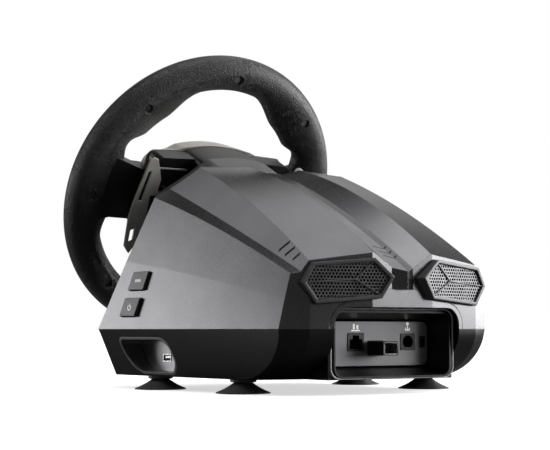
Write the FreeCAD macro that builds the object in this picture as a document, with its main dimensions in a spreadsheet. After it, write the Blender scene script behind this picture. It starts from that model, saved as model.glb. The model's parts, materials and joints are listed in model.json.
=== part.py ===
import FreeCAD, Part
import math
import os
import Sketcher
from FreeCAD import Placement, Rotation, Vector

# A desk racing wheel for computers and consoles, in millimetres.
# Row frame: +Z up, +Y to the rear of the base (where the sockets are), the driver sits
# at -Y and +X is the driver's right.  The origin is under the middle of the object,
# on the surface that the suction cups stand on.
# Wheel frame: x as above, y up in the rim's plane, z towards the driver along the
# steering axis, with its origin at the middle of the rim.

doc = FreeCAD.newDocument("racing_wheel")

# ---------------------------------------------------------------- driving dimensions
SIZES = [
    ("rim_radius", 124.0),        # steering axis to the middle of the rim's tube
    ("tube_radius", 16.0),        # the rim's round section
    ("rim_wall", 2.6),
    ("column_tilt", 26.5),        # steering axis below horizontal, in degrees
    ("wheel_height", 178.5),
    ("wheel_setback", 123.0),     # rim's middle in front of the origin
    ("wall", 2.6),                # moulded casings
    ("parting_height", 51.0),     # where the upper shell meets the lower tray
    ("floor_height", 11.0),       # underside of the tray
    ("front_depth", 86.0),        # rim plane to the base's front face, along the axis
    ("pocket_depth", 105.0),      # rim plane to the floor of the front pocket
    ("collar_front", 44.6),       # rim plane to the front of the column collar
    ("hub_rear", 43.9),
    ("pod_rear", 30.0),
    ("plate_rear", 9.0),
    ("plate_front", 14.0),
    ("plate_wall", 2.6),
    ("arm_front", 9.0),
    ("arm_rear", 13.0),
    ("cover_thickness", 2.5),
    ("armature_thickness", 5.0),
    ("board_thickness", 1.6),
    ("shaft_radius", 8.0),
    ("running_gap", 0.05),        # radial clearance of a shaft in its bearing
    ("bearing_radius", 13.0),
    ("bearing_width", 6.0),
    ("gear_module", 1.5),
    ("wheel_gear_teeth", 40.0),
    ("sensor_gear_teeth", 16.0),
    ("gear_width", 8.0),
    ("paddle_thickness", 2.4),
    ("hinge_pin_radius", 1.5),
    ("button_radius", 5.2),
    ("button_gap", 0.35),
    ("key_length", 23.4),
    ("key_height", 16.0),
    ("key_stand", 3.0),           # how far a side key stands out of the flank
    ("bay_half_width", 62.0),
    ("bay_top", 67.6),
    ("bay_bottom", 11.6),
    ("bay_mouth", 173.0),         # rear edge of the socket bay's tub
    ("bay_back", 153.0),          # the socket plate's face
    ("tub_half_width", 57.0),
    ("tub_top", 63.6),
    ("tub_bottom", 14.2),
    ("cup_radius", 21.8),
    ("cup_height", 10.0),
    ("stud_radius", 3.0),
    ("clamp_bore", 3.4),          # core of an M8 thread
    ("mesh_thickness", 1.2),
]

sheet = doc.addObject("Spreadsheet::Sheet", "dims")
for row, (alias, value) in enumerate(SIZES, start=1):
    sheet.set("A%d" % row, alias)
    sheet.set("B%d" % row, "%g" % value)
    sheet.setAlias("B%d" % row, alias)
doc.recompute()


def size(alias):
    """A driving dimension, read from the sheet."""
    return float(sheet.get(alias))


TILT = math.radians(size("column_tilt"))
WHEEL = Placement(Vector(0, -size("wheel_setback"), size("wheel_height")),
                  Rotation(Vector(1, 0, 0), 90.0 - size("column_tilt")))
ROW = Placement()
PARTS = []


def keep(obj, label, placement=ROW):
    """List a finished sub-part under the label that names its file."""
    obj.Label = label
    if placement is not ROW:
        obj.Placement = placement
    PARTS.append((label, obj))
    return obj


def keep_shape(label, shape, placement=ROW):
    """A sub-part whose shape is worked out here, from the sheet's sizes."""
    obj = doc.addObject("Part::Feature", label)
    obj.Shape = shape.removeSplitter() if len(shape.Solids) == 1 else shape
    return keep(obj, label, placement)


# ---------------------------------------------------------------- sketch helpers
def new_sketch(body, name, role="XY_Plane", offset=0.0):
    """A sketch on one of the body's own origin planes, moved along its normal."""
    sketch = body.newObject("Sketcher::SketchObject", name)
    plane = [f for f in body.Origin.OriginFeatures if f.Role == role][0]
    sketch.AttachmentSupport = [(plane, "")]
    sketch.MapMode = "FlatFace"
    sketch.AttachmentOffset = Placement(Vector(0, 0, offset), Rotation())
    return sketch


def outline(sketch, points):
    """A closed outline: (x, y) ends a straight edge, (xm, ym, x, y) an arc through xm, ym."""
    first = sketch.GeometryCount
    start = Vector(points[-1][-2], points[-1][-1], 0)
    for point in points:
        end = Vector(point[-2], point[-1], 0)
        if len(point) == 4:
            middle = Vector(point[0], point[1], 0)
            sketch.addGeometry(Part.Arc(start, middle, end), False)
        else:
            sketch.addGeometry(Part.LineSegment(start, end), False)
        start = end
    return first


def circle(sketch, x, y, radius, alias=None):
    """A circle, its radius bound to the sheet where an alias is given."""
    index = sketch.addGeometry(Part.Circle(Vector(x, y, 0), Vector(0, 0, 1), radius), False)
    rule = sketch.addConstraint(Sketcher.Constraint("Radius", index, radius))
    if alias:
        sketch.setExpression("Constraints[%d]" % rule, alias)
    return index


def rounded(cx, cy, hw, hh, r):
    """Outline of a rounded rectangle, half-width hw and half-height hh."""
    k = r * (1 - math.sqrt(0.5))
    x0, x1, y0, y1 = cx - hw, cx + hw, cy - hh, cy + hh
    return [(x1 - r, y0), (x1 - k, y0 + k, x1, y0 + r), (x1, y1 - r), (x1 - k, y1 - k, x1 - r, y1),
            (x0 + r, y1), (x0 + k, y1 - k, x0, y1 - r), (x0, y0 + r), (x0 + k, y0 + k, x0 + r, y0)]


def mirrored(points):
    """An outline turned over x = 0, kept running the same way."""
    ends = [p[-2:] for p in points]
    flipped = []
    for i in range(len(points) - 1, -1, -1):
        end = ends[i - 1]
        if len(points[i]) == 4:
            flipped.append((-points[i][0], points[i][1], -end[0], end[1]))
        else:
            flipped.append((-end[0], end[1]))
    return flipped


def pad(body, sketch, name, length, alias=None):
    """A pad along the sketch's normal, its length bound to the sheet where it can be."""
    feature = body.newObject("PartDesign::Pad", name)
    feature.Profile = sketch
    feature.Length = length
    if alias:
        feature.setExpression("Length", alias)
    sketch.Visibility = False
    return feature


def cut_through(body, sketch, name):
    """A pocket through everything on both sides of its sketch."""
    feature = body.newObject("PartDesign::Pocket", name)
    feature.Profile = sketch
    feature.Type = 1
    feature.Midplane = True
    return feature


def slab(label, points, low, length, placement=ROW, alias=None, holes=(), role="XY_Plane"):
    """A flat piece: an outline padded from low, with round or shaped holes through it."""
    body = doc.addObject("PartDesign::Body", label)
    sketch = new_sketch(body, label + "_outline", role, low)
    outline(sketch, points)
    pad(body, sketch, label + "_pad", length, alias)
    if holes:
        doc.recompute()
        openings = new_sketch(body, label + "_holes", role, low)
        for hole in holes:
            if isinstance(hole, list):
                outline(openings, hole)
            else:
                circle(openings, *hole)
        cut_through(body, openings, label + "_cut")
    return keep(body, label, placement)


def turned(label, profile, placement=ROW):
    """A piece turned about its own Z axis from an (r, z) half-section."""
    body = doc.addObject("PartDesign::Body", label)
    sketch = new_sketch(body, label + "_section", "XZ_Plane")
    outline(sketch, profile)
    feature = body.newObject("PartDesign::Revolution", label + "_turn")
    feature.Profile = sketch
    feature.ReferenceAxis = (sketch, ["V_Axis"])
    feature.Angle = 360.0
    return keep(body, label, placement)


# ---------------------------------------------------------------- solid helpers
def face_of(points, z=0.0):
    """A flat face in XY from an outline."""
    edges = []
    start = Vector(points[-1][-2], points[-1][-1], z)
    for point in points:
        end = Vector(point[-2], point[-1], z)
        if len(point) == 4:
            edges.append(Part.Arc(start, Vector(point[0], point[1], z), end).toShape())
        else:
            edges.append(Part.LineSegment(start, end).toShape())
        start = end
    return Part.Face(Part.Wire(edges))


def prism(points, low, high):
    """An outline in XY carried from z = low to z = high."""
    return face_of(points, low).extrude(Vector(0, 0, high - low))


def block(x0, y0, z0, x1, y1, z1):
    """A box between two corners."""
    return Part.makeBox(x1 - x0, y1 - y0, z1 - z0, Vector(x0, y0, z0))


def rod(x, y, z, radius, length, direction=Vector(0, 0, 1)):
    """A round bar from a point along a direction."""
    return Part.makeCylinder(radius, length, Vector(x, y, z), direction)


def in_wheel(shape):
    """A shape drawn in the wheel frame, put into the row frame."""
    moved = shape.copy()
    moved.Placement = WHEEL.multiply(moved.Placement)
    return moved


def inset(points, distance):
    """A straight-edged outline, running anticlockwise, moved inwards by a distance."""
    lines = []
    count = len(points)
    for i in range(count):
        (ax, ay), (bx, by) = points[i - 1], points[i]
        length = math.hypot(bx - ax, by - ay)
        nx, ny = -(by - ay) / length, (bx - ax) / length
        lines.append((ax + nx * distance, ay + ny * distance, bx - ax, by - ay))
    moved = []
    for i in range(count):
        px, py, ux, uy = lines[i]
        qx, qy, vx, vy = lines[(i + 1) % count]
        cross = ux * vy - uy * vx
        step = ((qx - px) * vy - (qy - py) * vx) / cross
        moved.append((px + ux * step, py + uy * step))
    return moved


def loft(sections, ruled=False):
    """A solid through closed straight-edged sections given as lists of points."""
    wires = [Part.makePolygon([Vector(*p) for p in section + section[:1]]) for section in sections]
    return Part.makeLoft(wires, True, ruled)


# ---------------------------------------------------------------- base: outer form
FAR = 400.0


def through(p0, p1, p2):
    """The quadratic z(y) through three (y, z) points."""
    def z(y):
        total = 0.0
        for (ya, za), (yb, _), (yc, _) in ((p0, p1, p2), (p1, p0, p2), (p2, p0, p1)):
            total += za * (y - yb) * (y - yc) / ((ya - yb) * (ya - yc))
        return total
    return z


# Each crease of the upper shell runs front to rear: where it lies across the base, as
# (x at y = 0, change of x per mm of y), and its height, through three points.
CREASES = [
    ((0.0, 0.0), through((18, 183.5), (95, 150.5), (182, 102.0))),       # middle ridge
    ((10.6, 0.0), through((18, 182.6), (95, 149.2), (184, 99.1))),       # valley
    ((29.0, 0.0), through((0, 194.2), (94, 162.4), (183, 111.6))),       # inner crest
    ((76.5, 0.040), through((0, 191.0), (87, 154.0), (162, 112.0))),     # outer crest
    ((91.6, -0.016), through((-25, 173.7), (76, 134.6), (160, 100.0))),  # band, upper edge
    ((99.9, -0.024), through((-37, 166.3), (44, 141.1), (168, 93.4))),   # band, lower edge
    ((109.6, -0.0597), through((-66, 111.1), (55, 93.5), (161, 74.5))),  # flank crease
    ((117.6, -0.0853), lambda y: size("parting_height")),                # parting line
]
FORM_FRONT, FORM_REAR = -110.0, 210.0
BELOW_PARTING = 12.0
SEWING_FIT = 1e-4


def section(y, distance=0.0):
    """The upper shell's outer section at y, or one moved inwards by a wall."""
    half = [(x0 + slope * y, height(y)) for (x0, slope), height in CREASES]
    (cx, cz), (px, pz) = half[-2], half[-1]
    lean = (px - cx) / (cz - pz)
    half[-1] = (px + lean * BELOW_PARTING, pz - BELOW_PARTING)
    right = half[:0:-1]
    left = [(-x, z) for x, z in half[1:]]
    ring = right + [half[0]] + left
    if distance:
        ring = inset(ring, distance)
    return [Vector(x, y, z) for x, z in ring]


def panelled(distance):
    """A solid with one ruled panel between each crease and the next, closed at both ends.
    A crease is the parabola through its points at the front, middle and rear sections."""
    middle = (FORM_FRONT + FORM_REAR) / 2
    ends = [section(y, distance) for y in (FORM_FRONT, middle, FORM_REAR)]
    creases = []
    for front, half_way, rear in zip(*ends):
        curve = Part.BezierCurve()
        curve.setPoles([front, half_way * 2 - (front + rear) * 0.5, rear])
        creases.append(curve.toShape())
    faces = [Part.makeRuledSurface(creases[i - 1], creases[i]) for i in range(len(creases))]
    for ring in (ends[0], ends[-1]):
        faces.append(Part.Face(Part.makePolygon(ring + ring[:1])))
    skin = Part.Compound(faces)
    skin.sewShape()
    form = Part.Solid(skin.Shells[0])
    form.fix(SEWING_FIT, SEWING_FIT, SEWING_FIT)
    return form if form.Volume > 0 else form.reversed()


REAR = [(103.6, 163.9), (83.2, 175.9), (30.0, 184.9)]     # plan of the rear facets
PROW = [(10.6, 184.4), (0.0, 191.5)]
PROW_FOOT = 82.0


def plan(prow, distance=0.0):
    """Plan outline that the rear facets give the base, with or without the middle prow."""
    corner = (REAR[0][0] + 40.0, REAR[0][1] - 40.0 * 12.0 / 20.4)
    half = [(FAR, -FAR), (FAR, corner[1]), corner] + REAR[1:]
    if prow:
        half.append(PROW[0])
    ring = half + ([PROW[1]] if prow else []) + [(-x, y) for x, y in reversed(half)]
    return inset(ring, distance) if distance else ring


def front_space(depth):
    """Everything behind a plane square to the steering axis."""
    return in_wheel(block(-FAR, -FAR, -2 * FAR, FAR, FAR, -depth))


def upper_form(distance=0.0):
    """The closed outer form of the upper shell, or that form inside its wall."""
    form = panelled(distance)
    high = prism(plan(True, distance), PROW_FOOT + distance, FAR)
    low = prism(plan(False, distance), -FAR, PROW_FOOT + distance)
    form = form.common(high.fuse(low))
    return form.common(front_space(size("front_depth") + distance))


PARTING = size("parting_height")
above_parting = block(-FAR, -FAR, PARTING, FAR, FAR, FAR)
outer_form = upper_form().common(above_parting)
inner_form = upper_form(size("wall"))

# The front pocket that the steering column leaves from: a dish, open at the top.
POCKET_FLOOR = [(-56.0, -62.0), (56.0, -62.0), (78.0, 95.0), (-78.0, 95.0)]
POCKET_MOUTH = [(-77.0, -80.0), (77.0, -80.0), (102.0, 95.0), (-102.0, 95.0)]


def pocket_form(distance):
    """The pocket's hollow, or that hollow with its wall round it."""
    depth = size("pocket_depth")
    run = depth - size("front_depth")
    floor = inset(POCKET_FLOOR, -distance) if distance else POCKET_FLOOR
    mouth = inset(POCKET_MOUTH, -distance) if distance else POCKET_MOUTH
    reach = [(m[0] + (m[0] - f[0]), m[1] + (m[1] - f[1])) for f, m in zip(floor, mouth)]
    return in_wheel(loft([[(x, y, -depth - distance) for x, y in floor],
                          [(x, y, -depth + 2 * run - distance) for x, y in reach]], True))


pocket_hollow = pocket_form(0.0)
pocket_wall = pocket_form(size("wall"))

# Socket bay through the rear wall of both casings.
bay_half = size("bay_half_width")
BAY_CORNER = 14.0


def across(points, y0, y1):
    """An outline drawn in (x, z), carried from y0 to y1."""
    shape = prism(points, 0, y1 - y0)
    shape.Placement = Placement(Vector(0, y1, 0), Rotation(Vector(1, 0, 0), 90))
    return shape


def bay_outline(grow):
    """The bay's outline in (x, z): square below, with two large corners above."""
    half, top, low = bay_half + grow, size("bay_top") + grow, size("bay_bottom") - grow
    r = BAY_CORNER + grow
    k = r * (1 - math.sqrt(0.5))
    return [(half, low), (half, top - r), (half - k, top - k, half - r, top), (-half + r, top),
            (-half + k, top - k, -half, top - r), (-half, low)]


BAY_FRONT = 118.0
bay_space = across(bay_outline(0.3), BAY_FRONT, 210.0)

# ---------------------------------------------------------------- vents: places
# Each vent face is a plane turned about Z; its outline is a long hexagon.
VENT_TURN = math.degrees(math.atan(0.205))
VENT_MIDDLE = Vector(53.5, 186.4, 88.3)
VENT_HALF = [(35.7, -2.0), (26.0, -15.2), (-26.6, -10.9), (-35.4, 2.2), (-21.2, 14.6), (28.5, 10.3)]
VENT_RIM = 3.0
VENT_DEPTH = 26.0
MESH_INSET = 1.6


def vent_place(side):
    """Frame of a vent: x across it, y up, z out of its face to the rear."""
    turn = Rotation(Vector(0, 0, 1), -VENT_TURN * side)
    stand = Rotation(Vector(1, 0, 0), 90)
    flip = Rotation(Vector(0, 1, 0), 180)
    middle = Vector(VENT_MIDDLE.x * side, VENT_MIDDLE.y, VENT_MIDDLE.z)
    return Placement(middle, turn.multiply(stand).multiply(flip))


def vent_outline(side, grow):
    """The hexagon in the vent's frame, where x runs towards the row's -X."""
    ring = inset([(-x * side, y) for x, y in VENT_HALF][::(1 if side > 0 else -1)], -grow)
    return ring


def vent_block(side, grow, low, high):
    """The hexagon's prism in the row frame."""
    shape = prism(vent_outline(side, grow), low, high)
    shape.Placement = vent_place(side)
    return shape


# ---------------------------------------------------------------- side keys: places
# The keys sit on the driver's right flank, in a frame with z out of the flank,
# x to the rear along it and y up.
FLANK_OUT = Vector(0.982, 0.084, 0.170)
FLANK_BACK = Vector(0, 0, 1).cross(FLANK_OUT).normalize()
FLANK_UP = FLANK_OUT.cross(FLANK_BACK).normalize()
KEY_MIDDLES = [Vector(113.6, -34.1, 92.2), Vector(118.0, -41.0, 69.6)]
KEY_LEAN = 2.6


def flank_point(guess):
    """The point on the flank's plane under a guess, measured along X."""
    corner = Vector(113.0, -65.7, 111.1)
    away = (guess - corner).dot(FLANK_OUT) / FLANK_OUT.x
    return guess - Vector(away, 0, 0)


def key_place(index):
    """Frame of a side key, with its origin on the flank."""
    turn = FreeCAD.Matrix(FLANK_BACK.x, FLANK_UP.x, FLANK_OUT.x, 0, FLANK_BACK.y, FLANK_UP.y,
                          FLANK_OUT.y, 0, FLANK_BACK.z, FLANK_UP.z, FLANK_OUT.z, 0, 0, 0, 0, 1)
    place = Placement(turn)
    place.Base = flank_point(KEY_MIDDLES[index])
    return place


def key_outline(grow):
    """A leaning four-sided key, wider than high."""
    w, h = size("key_length") / 2, size("key_height") / 2
    ring = [(-w - KEY_LEAN, -h), (w - KEY_LEAN, -h), (w + KEY_LEAN, h), (-w + KEY_LEAN, h)]
    return inset(ring, -grow) if grow else ring


def key_block(index, grow, low, high):
    """A key's prism in the row frame."""
    shape = prism(key_outline(grow), low, high)
    shape.Placement = key_place(index)
    return shape


# ---------------------------------------------------------------- base: engraved lines
GROOVE_DEPTH = 0.8
GROOVE_WIDTH = 0.9
TICKS = [((82.9, 149.1), (87.7, 140.7)), ((83.3, 156.6), (87.6, 149.3)), ((83.8, 164.3), (87.2, 159.2))]
CHEVRON_TIPS = (161.0, 167.6, 174.2)
CHEVRON_HALF, CHEVRON_SWEEP = 6.6, 6.0
SEAM_AWAY = 4.0               # from the bay's edge to the seam round its corners
SEAM_WIDTH = 0.5


def upright(start, end):
    """A thin upright slab over the line between two points of the plan."""
    dx, dy = end[0] - start[0], end[1] - start[1]
    half = GROOVE_WIDTH / 2 / math.hypot(dx, dy)
    sx, sy = -dy * half, dx * half
    ring = [(start[0] + sx, start[1] + sy), (start[0] - sx, start[1] - sy),
            (end[0] - sx, end[1] - sy), (end[0] + sx, end[1] + sy)]
    return prism(ring, PARTING, FAR)


def engraving():
    """The ticks on both flanks' bands, the chevrons on the ridge and the bay's seams,
    as thin solids just under the shell's surface."""
    lines = []
    for side in (1, -1):
        for inner, outer in TICKS:
            lines.append(upright((side * inner[0], inner[1]), (side * outer[0], outer[1])))
        for tip in CHEVRON_TIPS:
            lines.append(upright((side * CHEVRON_HALF, tip - CHEVRON_SWEEP), (-side * 0.3, tip + 0.3)))
        ends = sorted((side * (bay_half - BAY_CORNER + 3.0), side * 80.0))
        corner = block(ends[0], BAY_FRONT, PARTING - 5, ends[1], FAR, 80.0)
        seam = across(bay_outline(SEAM_AWAY + SEAM_WIDTH), BAY_FRONT + 20, 210.0).cut(
            across(bay_outline(SEAM_AWAY), BAY_FRONT, 211.0))
        lines.append(seam.common(corner))
    marks = lines[0]
    for line in lines[1:]:
        marks = marks.fuse(line)
    return marks.common(outer_form).cut(upper_form(GROOVE_DEPTH))


# ---------------------------------------------------------------- base: casings
POSTS = [(88.0, -42.0), (-88.0, -42.0), (86.0, 112.0), (-86.0, 112.0)]
POST_RADIUS = 4.5
POST_FOOT = 17.0
SCREW_RADIUS = 1.5
SCREW_HEAD = 3.2


def upper_shell():
    """One thin moulding: outer form less its inside, with posts for the base screws."""
    shell = outer_form.cut(inner_form)
    for x, y in POSTS:
        post = rod(x, y, POST_FOOT, POST_RADIUS, FAR).common(
            upper_form(size("wall") / 2).fuse(block(-FAR, -FAR, POST_FOOT, FAR, FAR, PARTING)))
        shell = shell.fuse(post.cut(rod(x, y, POST_FOOT - 1, SCREW_RADIUS, 60)))
    shell = shell.cut(pocket_wall)
    shell = shell.cut(bay_space)
    for side in (1, -1):
        shell = shell.cut(vent_block(side, VENT_RIM + 0.3, -60, 20))
    for index in (0, 1):
        shell = shell.cut(key_block(index, size("button_gap"), -9, 5))
    return shell.cut(engraving())


def front_fascia():
    """The dish that closes the front pocket, with the hole that the column passes."""
    dish = outer_form.common(pocket_wall.cut(pocket_hollow))
    bore = in_wheel(rod(0, 0, -130, 21.0, 60))
    return dish.cut(bore)


# The lower tray's outline at the parting line and at its floor, front and rear.
TRAY_FLARE = 62.0
TRAY_DROP = 40.2
TRAY_LEVELS = (51.0, 46.0, 40.0, 33.0, 26.0, 20.0, 15.0, 12.5, 11.0)


def tray_section(z, distance=0.0):
    """Plan outline of the tray at a height: it draws in at the flanks, and the rear
    runs down and forward as a quarter of an ellipse."""
    drop = (PARTING - z) / (PARTING - size("floor_height"))
    back = TRAY_FLARE * (1 - math.sqrt(1 - ((PARTING - z) / TRAY_DROP) ** 2))
    front = (124.9 - 10.6 * drop, -90.4 + 14.0 * drop)
    rear = (103.6 - 3.3 * drop, 163.9 - back)
    half = [front, rear, (83.2, 175.9 - back), (30.0, 184.9 - back)]
    ring = half + [(-x, y) for x, y in reversed(half)]
    if distance:
        ring = inset(ring, distance)
    return [(x, y, z) for x, y in ring]


USB_BACK = 99.0
USB_OUTLINE = [(-1.7, 42.0), (12.0, 37.4, 17.8, 28.0), (18.4, 19.5, 13.0, 14.8), (-30.0, 14.8),
               (-46.0, 22.0, -57.5, 37.0), (-57.6, 40.6, -54.0, 42.0)]


def sideways(points, x0, x1):
    """An outline drawn in (y, z), carried from x0 to x1."""
    edges = []
    start = Vector(x0, points[-1][-2], points[-1][-1])
    for point in points:
        end = Vector(x0, point[-2], point[-1])
        if len(point) == 4:
            edges.append(Part.Arc(start, Vector(x0, point[0], point[1]), end).toShape())
        else:
            edges.append(Part.LineSegment(start, end).toShape())
        start = end
    return Part.Face(Part.Wire(edges)).extrude(Vector(x1 - x0, 0, 0))


tray_form = loft([tray_section(z) for z in TRAY_LEVELS])
USB_WALL = 2.0
usb_hollow = sideways(USB_OUTLINE, USB_BACK, 140.0)
CUPS = {"front_right": (104.0, -15.4), "front_left": (-104.0, -15.4),
        "rear_right": (92.5, 97.3), "rear_left": (-92.5, 97.3)}
STUD_HEAD = 5.0
STUD_TOP = 12.4
CLAMP_AT = (0.0, -30.0)
CLAMP_OUTER = 8.0


def grown_usb(grow):
    """The pocket's outline with its wall, as a slightly larger copy about its middle."""
    cy, cz = -19.6, 28.0
    ky, kz = 1 + grow / 38.0, 1 + grow / 13.4

    def move(y, z):
        return cy + (y - cy) * ky, cz + (z - cz) * kz
    ring = []
    for point in USB_OUTLINE:
        if len(point) == 4:
            ring.append(move(*point[:2]) + move(*point[2:]))
        else:
            ring.append(move(*point))
    return ring


def lower_tray():
    """The tray that carries everything: floor, flanks, and holes for what it holds."""
    wall = size("wall")
    hollow = loft([tray_section(z, wall) for z in TRAY_LEVELS])
    hollow = hollow.common(block(-FAR, -FAR, size("floor_height") + 3.0, FAR, FAR, FAR))
    tray = tray_form.cut(hollow)
    tray = tray.cut(bay_space)
    tray = tray.cut(sideways(grown_usb(USB_WALL + 0.1), USB_BACK - USB_WALL - 0.1, 140.0))
    for x, y in CUPS.values():
        tray = tray.cut(rod(x, y, 0, STUD_HEAD, STUD_TOP))
    for x, y in POSTS:
        tray = tray.cut(rod(x, y, 0, SCREW_RADIUS + 0.2, 20))
        tray = tray.cut(rod(x, y, 0, SCREW_HEAD + 0.3, size("floor_height") + 1.2))
    x, y = CLAMP_AT
    return tray.cut(rod(x, y, 0, CLAMP_OUTER, 20))


keep_shape("upper_shell", upper_shell())
keep_shape("front_fascia", front_fascia())
keep_shape("lower_tray", lower_tray())


def usb_pocket():
    """The thumb recess in the right flank: a cup that follows the tray's outside."""
    cup = sideways(grown_usb(USB_WALL), USB_BACK - USB_WALL, 140.0).common(tray_form)
    cup = cup.cut(usb_hollow)
    return cup.cut(block(80, -19.4, 23.2, 110, -5.6, 30.2))


keep_shape("usb_pocket", usb_pocket())


def hollow_plug(label, outer, hollow, tongue):
    """A socket: a box with a mouth in it and a contact tongue, from Part boxes."""
    def box(name, corners):
        obj = doc.addObject("Part::Box", label + name)
        x0, y0, z0, x1, y1, z1 = corners
        obj.Length, obj.Width, obj.Height = x1 - x0, y1 - y0, z1 - z0
        obj.Placement = Placement(Vector(x0, y0, z0), Rotation())
        return obj
    cut = doc.addObject("Part::Cut", label + "_shell")
    cut.Base, cut.Tool = box("_body", outer), box("_mouth", hollow)
    fuse = doc.addObject("Part::Fuse", label)
    fuse.Base, fuse.Tool = cut, box("_tongue", tongue)
    return keep(fuse, label)


hollow_plug("usb_socket", (86.0, -19.2, 23.4, 99.6, -5.8, 30.0), (88.0, -18.5, 24.1, 100.0, -6.5, 29.3),
            (88.0, -17.5, 26.4, 98.5, -7.5, 28.1))

# ---------------------------------------------------------------- base: socket bay
PLATE_THICK = 2.4


def port_tub():
    """The boxed bay that stands out of the rear: side walls, a rim and a drafted throat."""
    outer = across(bay_outline(0.0), BAY_FRONT + 0.4, size("bay_mouth") - 3.0)
    half, top, low = size("tub_half_width"), size("tub_top"), size("tub_bottom")
    middle = (top + low) / 2
    rim = across(rounded(0, middle, half + 1.6, (top - low) / 2 + 1.6, 9.0),
                 size("bay_mouth") - 4.0, size("bay_mouth"))
    back = size("bay_back") - PLATE_THICK
    mouth = [Vector(x, size("bay_mouth") + 0.1, z) for x, z in
             ((-half, low), (half, low), (half, top), (-half, top), (-half, low))]
    seat = [Vector(x, back, z) for x, z in
            ((-half + 6, low + 7), (half - 6, low + 7), (half - 6, top - 6), (-half + 6, top - 6),
             (-half + 6, low + 7))]
    throat = Part.makeLoft([Part.makePolygon(mouth), Part.makePolygon(seat)], True, True)
    edges = [e for e in throat.Edges
             if abs(e.Vertexes[0].Point.y - e.Vertexes[-1].Point.y) > 5]
    throat = throat.makeFillet(7.0, edges)
    behind = block(-half + 2, BAY_FRONT - 1, low + 2, half - 2, back + 0.01, top - 0.5)
    tub = outer.fuse(rim).cut(throat).cut(behind)
    return tub


keep_shape("port_tub", port_tub())

plate_half = size("tub_half_width") - 6.6
plate_low, plate_top = size("tub_bottom") + 7.6, size("tub_top") - 6.6
PEDAL = (22.6, 40.6, 16.4, 14.0)       # middle x, z, width and height of each socket
SHIFTER = (-30.0, 40.6, 15.0, 13.0)
SPARE = (-45.2, 40.6, 5.6, 9.0)
LINK = (2.8, 35.8, 15.2, 11.4)


def window(spec, grow=0.15):
    """A rectangle in (x, z) round a socket."""
    x, z, w, h = spec
    return [(x - w / 2 - grow, z - h / 2 - grow), (x + w / 2 + grow, z - h / 2 - grow),
            (x + w / 2 + grow, z + h / 2 + grow), (x - w / 2 - grow, z + h / 2 + grow)]


slab("port_plate", rounded(0, (plate_low + plate_top) / 2, plate_half, (plate_top - plate_low) / 2, 6.0),
     -size("bay_back"), PLATE_THICK, holes=[window(s) for s in (PEDAL, SHIFTER, SPARE, LINK)],
     role="XZ_Plane")


def socket_box(label, spec, mouth, depth, proud=0.4):
    """A panel socket behind the plate: body box less a shaped mouth."""
    x, z, w, h = spec
    front = size("bay_back") + proud
    body = block(x - w / 2, front - 16.0, z - h / 2, x + w / 2, front, z + h / 2)
    return keep_shape(label, body.cut(across(mouth, front - depth, front + 1)))


px, pz = PEDAL[:2]
socket_box("pedal_socket", PEDAL, [(px + 6.2, pz - 5.6), (px + 6.2, pz + 2.4), (px + 3.2, pz + 2.4),
                                   (px + 3.2, pz + 5.2), (px - 3.2, pz + 5.2), (px - 3.2, pz + 2.4),
                                   (px - 6.2, pz + 2.4), (px - 6.2, pz - 5.6)], 13.0)
sx, sz = SHIFTER[:2]
socket_box("shifter_socket", SHIFTER, [(sx, sz + 5.2, sx - 5.2, sz), (sx - 4.8, sz - 2.0, sx - 3.0, sz - 4.2),
                                       (sx + 3.0, sz - 4.2), (sx + 4.8, sz - 2.0, sx + 5.2, sz)], 11.0)
ax_, az_ = SPARE[:2]
socket_box("spare_socket", SPARE, rounded(ax_, az_, 1.7, 3.4, 1.6), 8.0)


def link_connector():
    """The short host connector on the plate: a moulded body with a metal-framed mouth."""
    x, z, w, h = LINK
    back, tip = size("bay_back"), size("bay_back") + 20.0
    body = across(rounded(x, z, w / 2, h / 2, 1.6), back - 8.0, tip)
    return body.cut(across(rounded(x, z, w / 2 - 1.2, h / 2 - 1.2, 0.8), tip - 9.0, tip + 1))


keep_shape("link_connector", link_connector())
slab("main_board", rounded(-4, 40.0, 48, 20, 3.0), -(size("bay_back") - 15.6), size("board_thickness"),
     alias="dims.board_thickness", role="XZ_Plane")

# ---------------------------------------------------------------- base: vents
for side, word in ((1, "right"), (-1, "left")):
    frame = prism(vent_outline(side, VENT_RIM), -VENT_DEPTH, 0.0)
    frame = frame.cut(prism(vent_outline(side, 0.0), -MESH_INSET - size("mesh_thickness"), 1.0))
    frame = frame.cut(prism(vent_outline(side, -1.5), -VENT_DEPTH - 1, 1.0))
    keep_shape("vent_frame_" + word, frame, vent_place(side))
    slab("vent_mesh_" + word, vent_outline(side, -0.1), -MESH_INSET - size("mesh_thickness"),
         size("mesh_thickness"), vent_place(side), "dims.mesh_thickness")

# ---------------------------------------------------------------- base: side keys
for index, word in ((0, "upper"), (1, "lower")):
    slab("side_key_" + word, key_outline(0.0), -6.0, 6.0 + size("key_stand"), key_place(index))
board_at = key_place(0)
board_at.Base = (key_place(0).Base + key_place(1).Base) * 0.5
slab("key_board", rounded(0, 0, 17, 21, 2.0), -11.6, size("board_thickness"), board_at,
     "dims.board_thickness")

# ---------------------------------------------------------------- base: feet and fasteners
for word, (x, y) in CUPS.items():
    r, top = size("cup_radius"), size("cup_height")
    turned("suction_cup_" + word,
           [(3.2, 4.0), (12.0, 2.6, r - 1.6, 0.0), (r, 0.0), (r, 0.9), (14.0, 4.4, 7.6, top - 1.4),
            (10.5, top - 0.9), (10.5, size("floor_height")), (3.2, size("floor_height"))],
           Placement(Vector(x, y, 0), Rotation()))


def group(label, shapes):
    """Identical pieces that share one node, each its own solid."""
    obj = doc.addObject("Part::Feature", label)
    obj.Shape = Part.makeCompound(shapes)
    return keep(obj, label)


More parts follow.
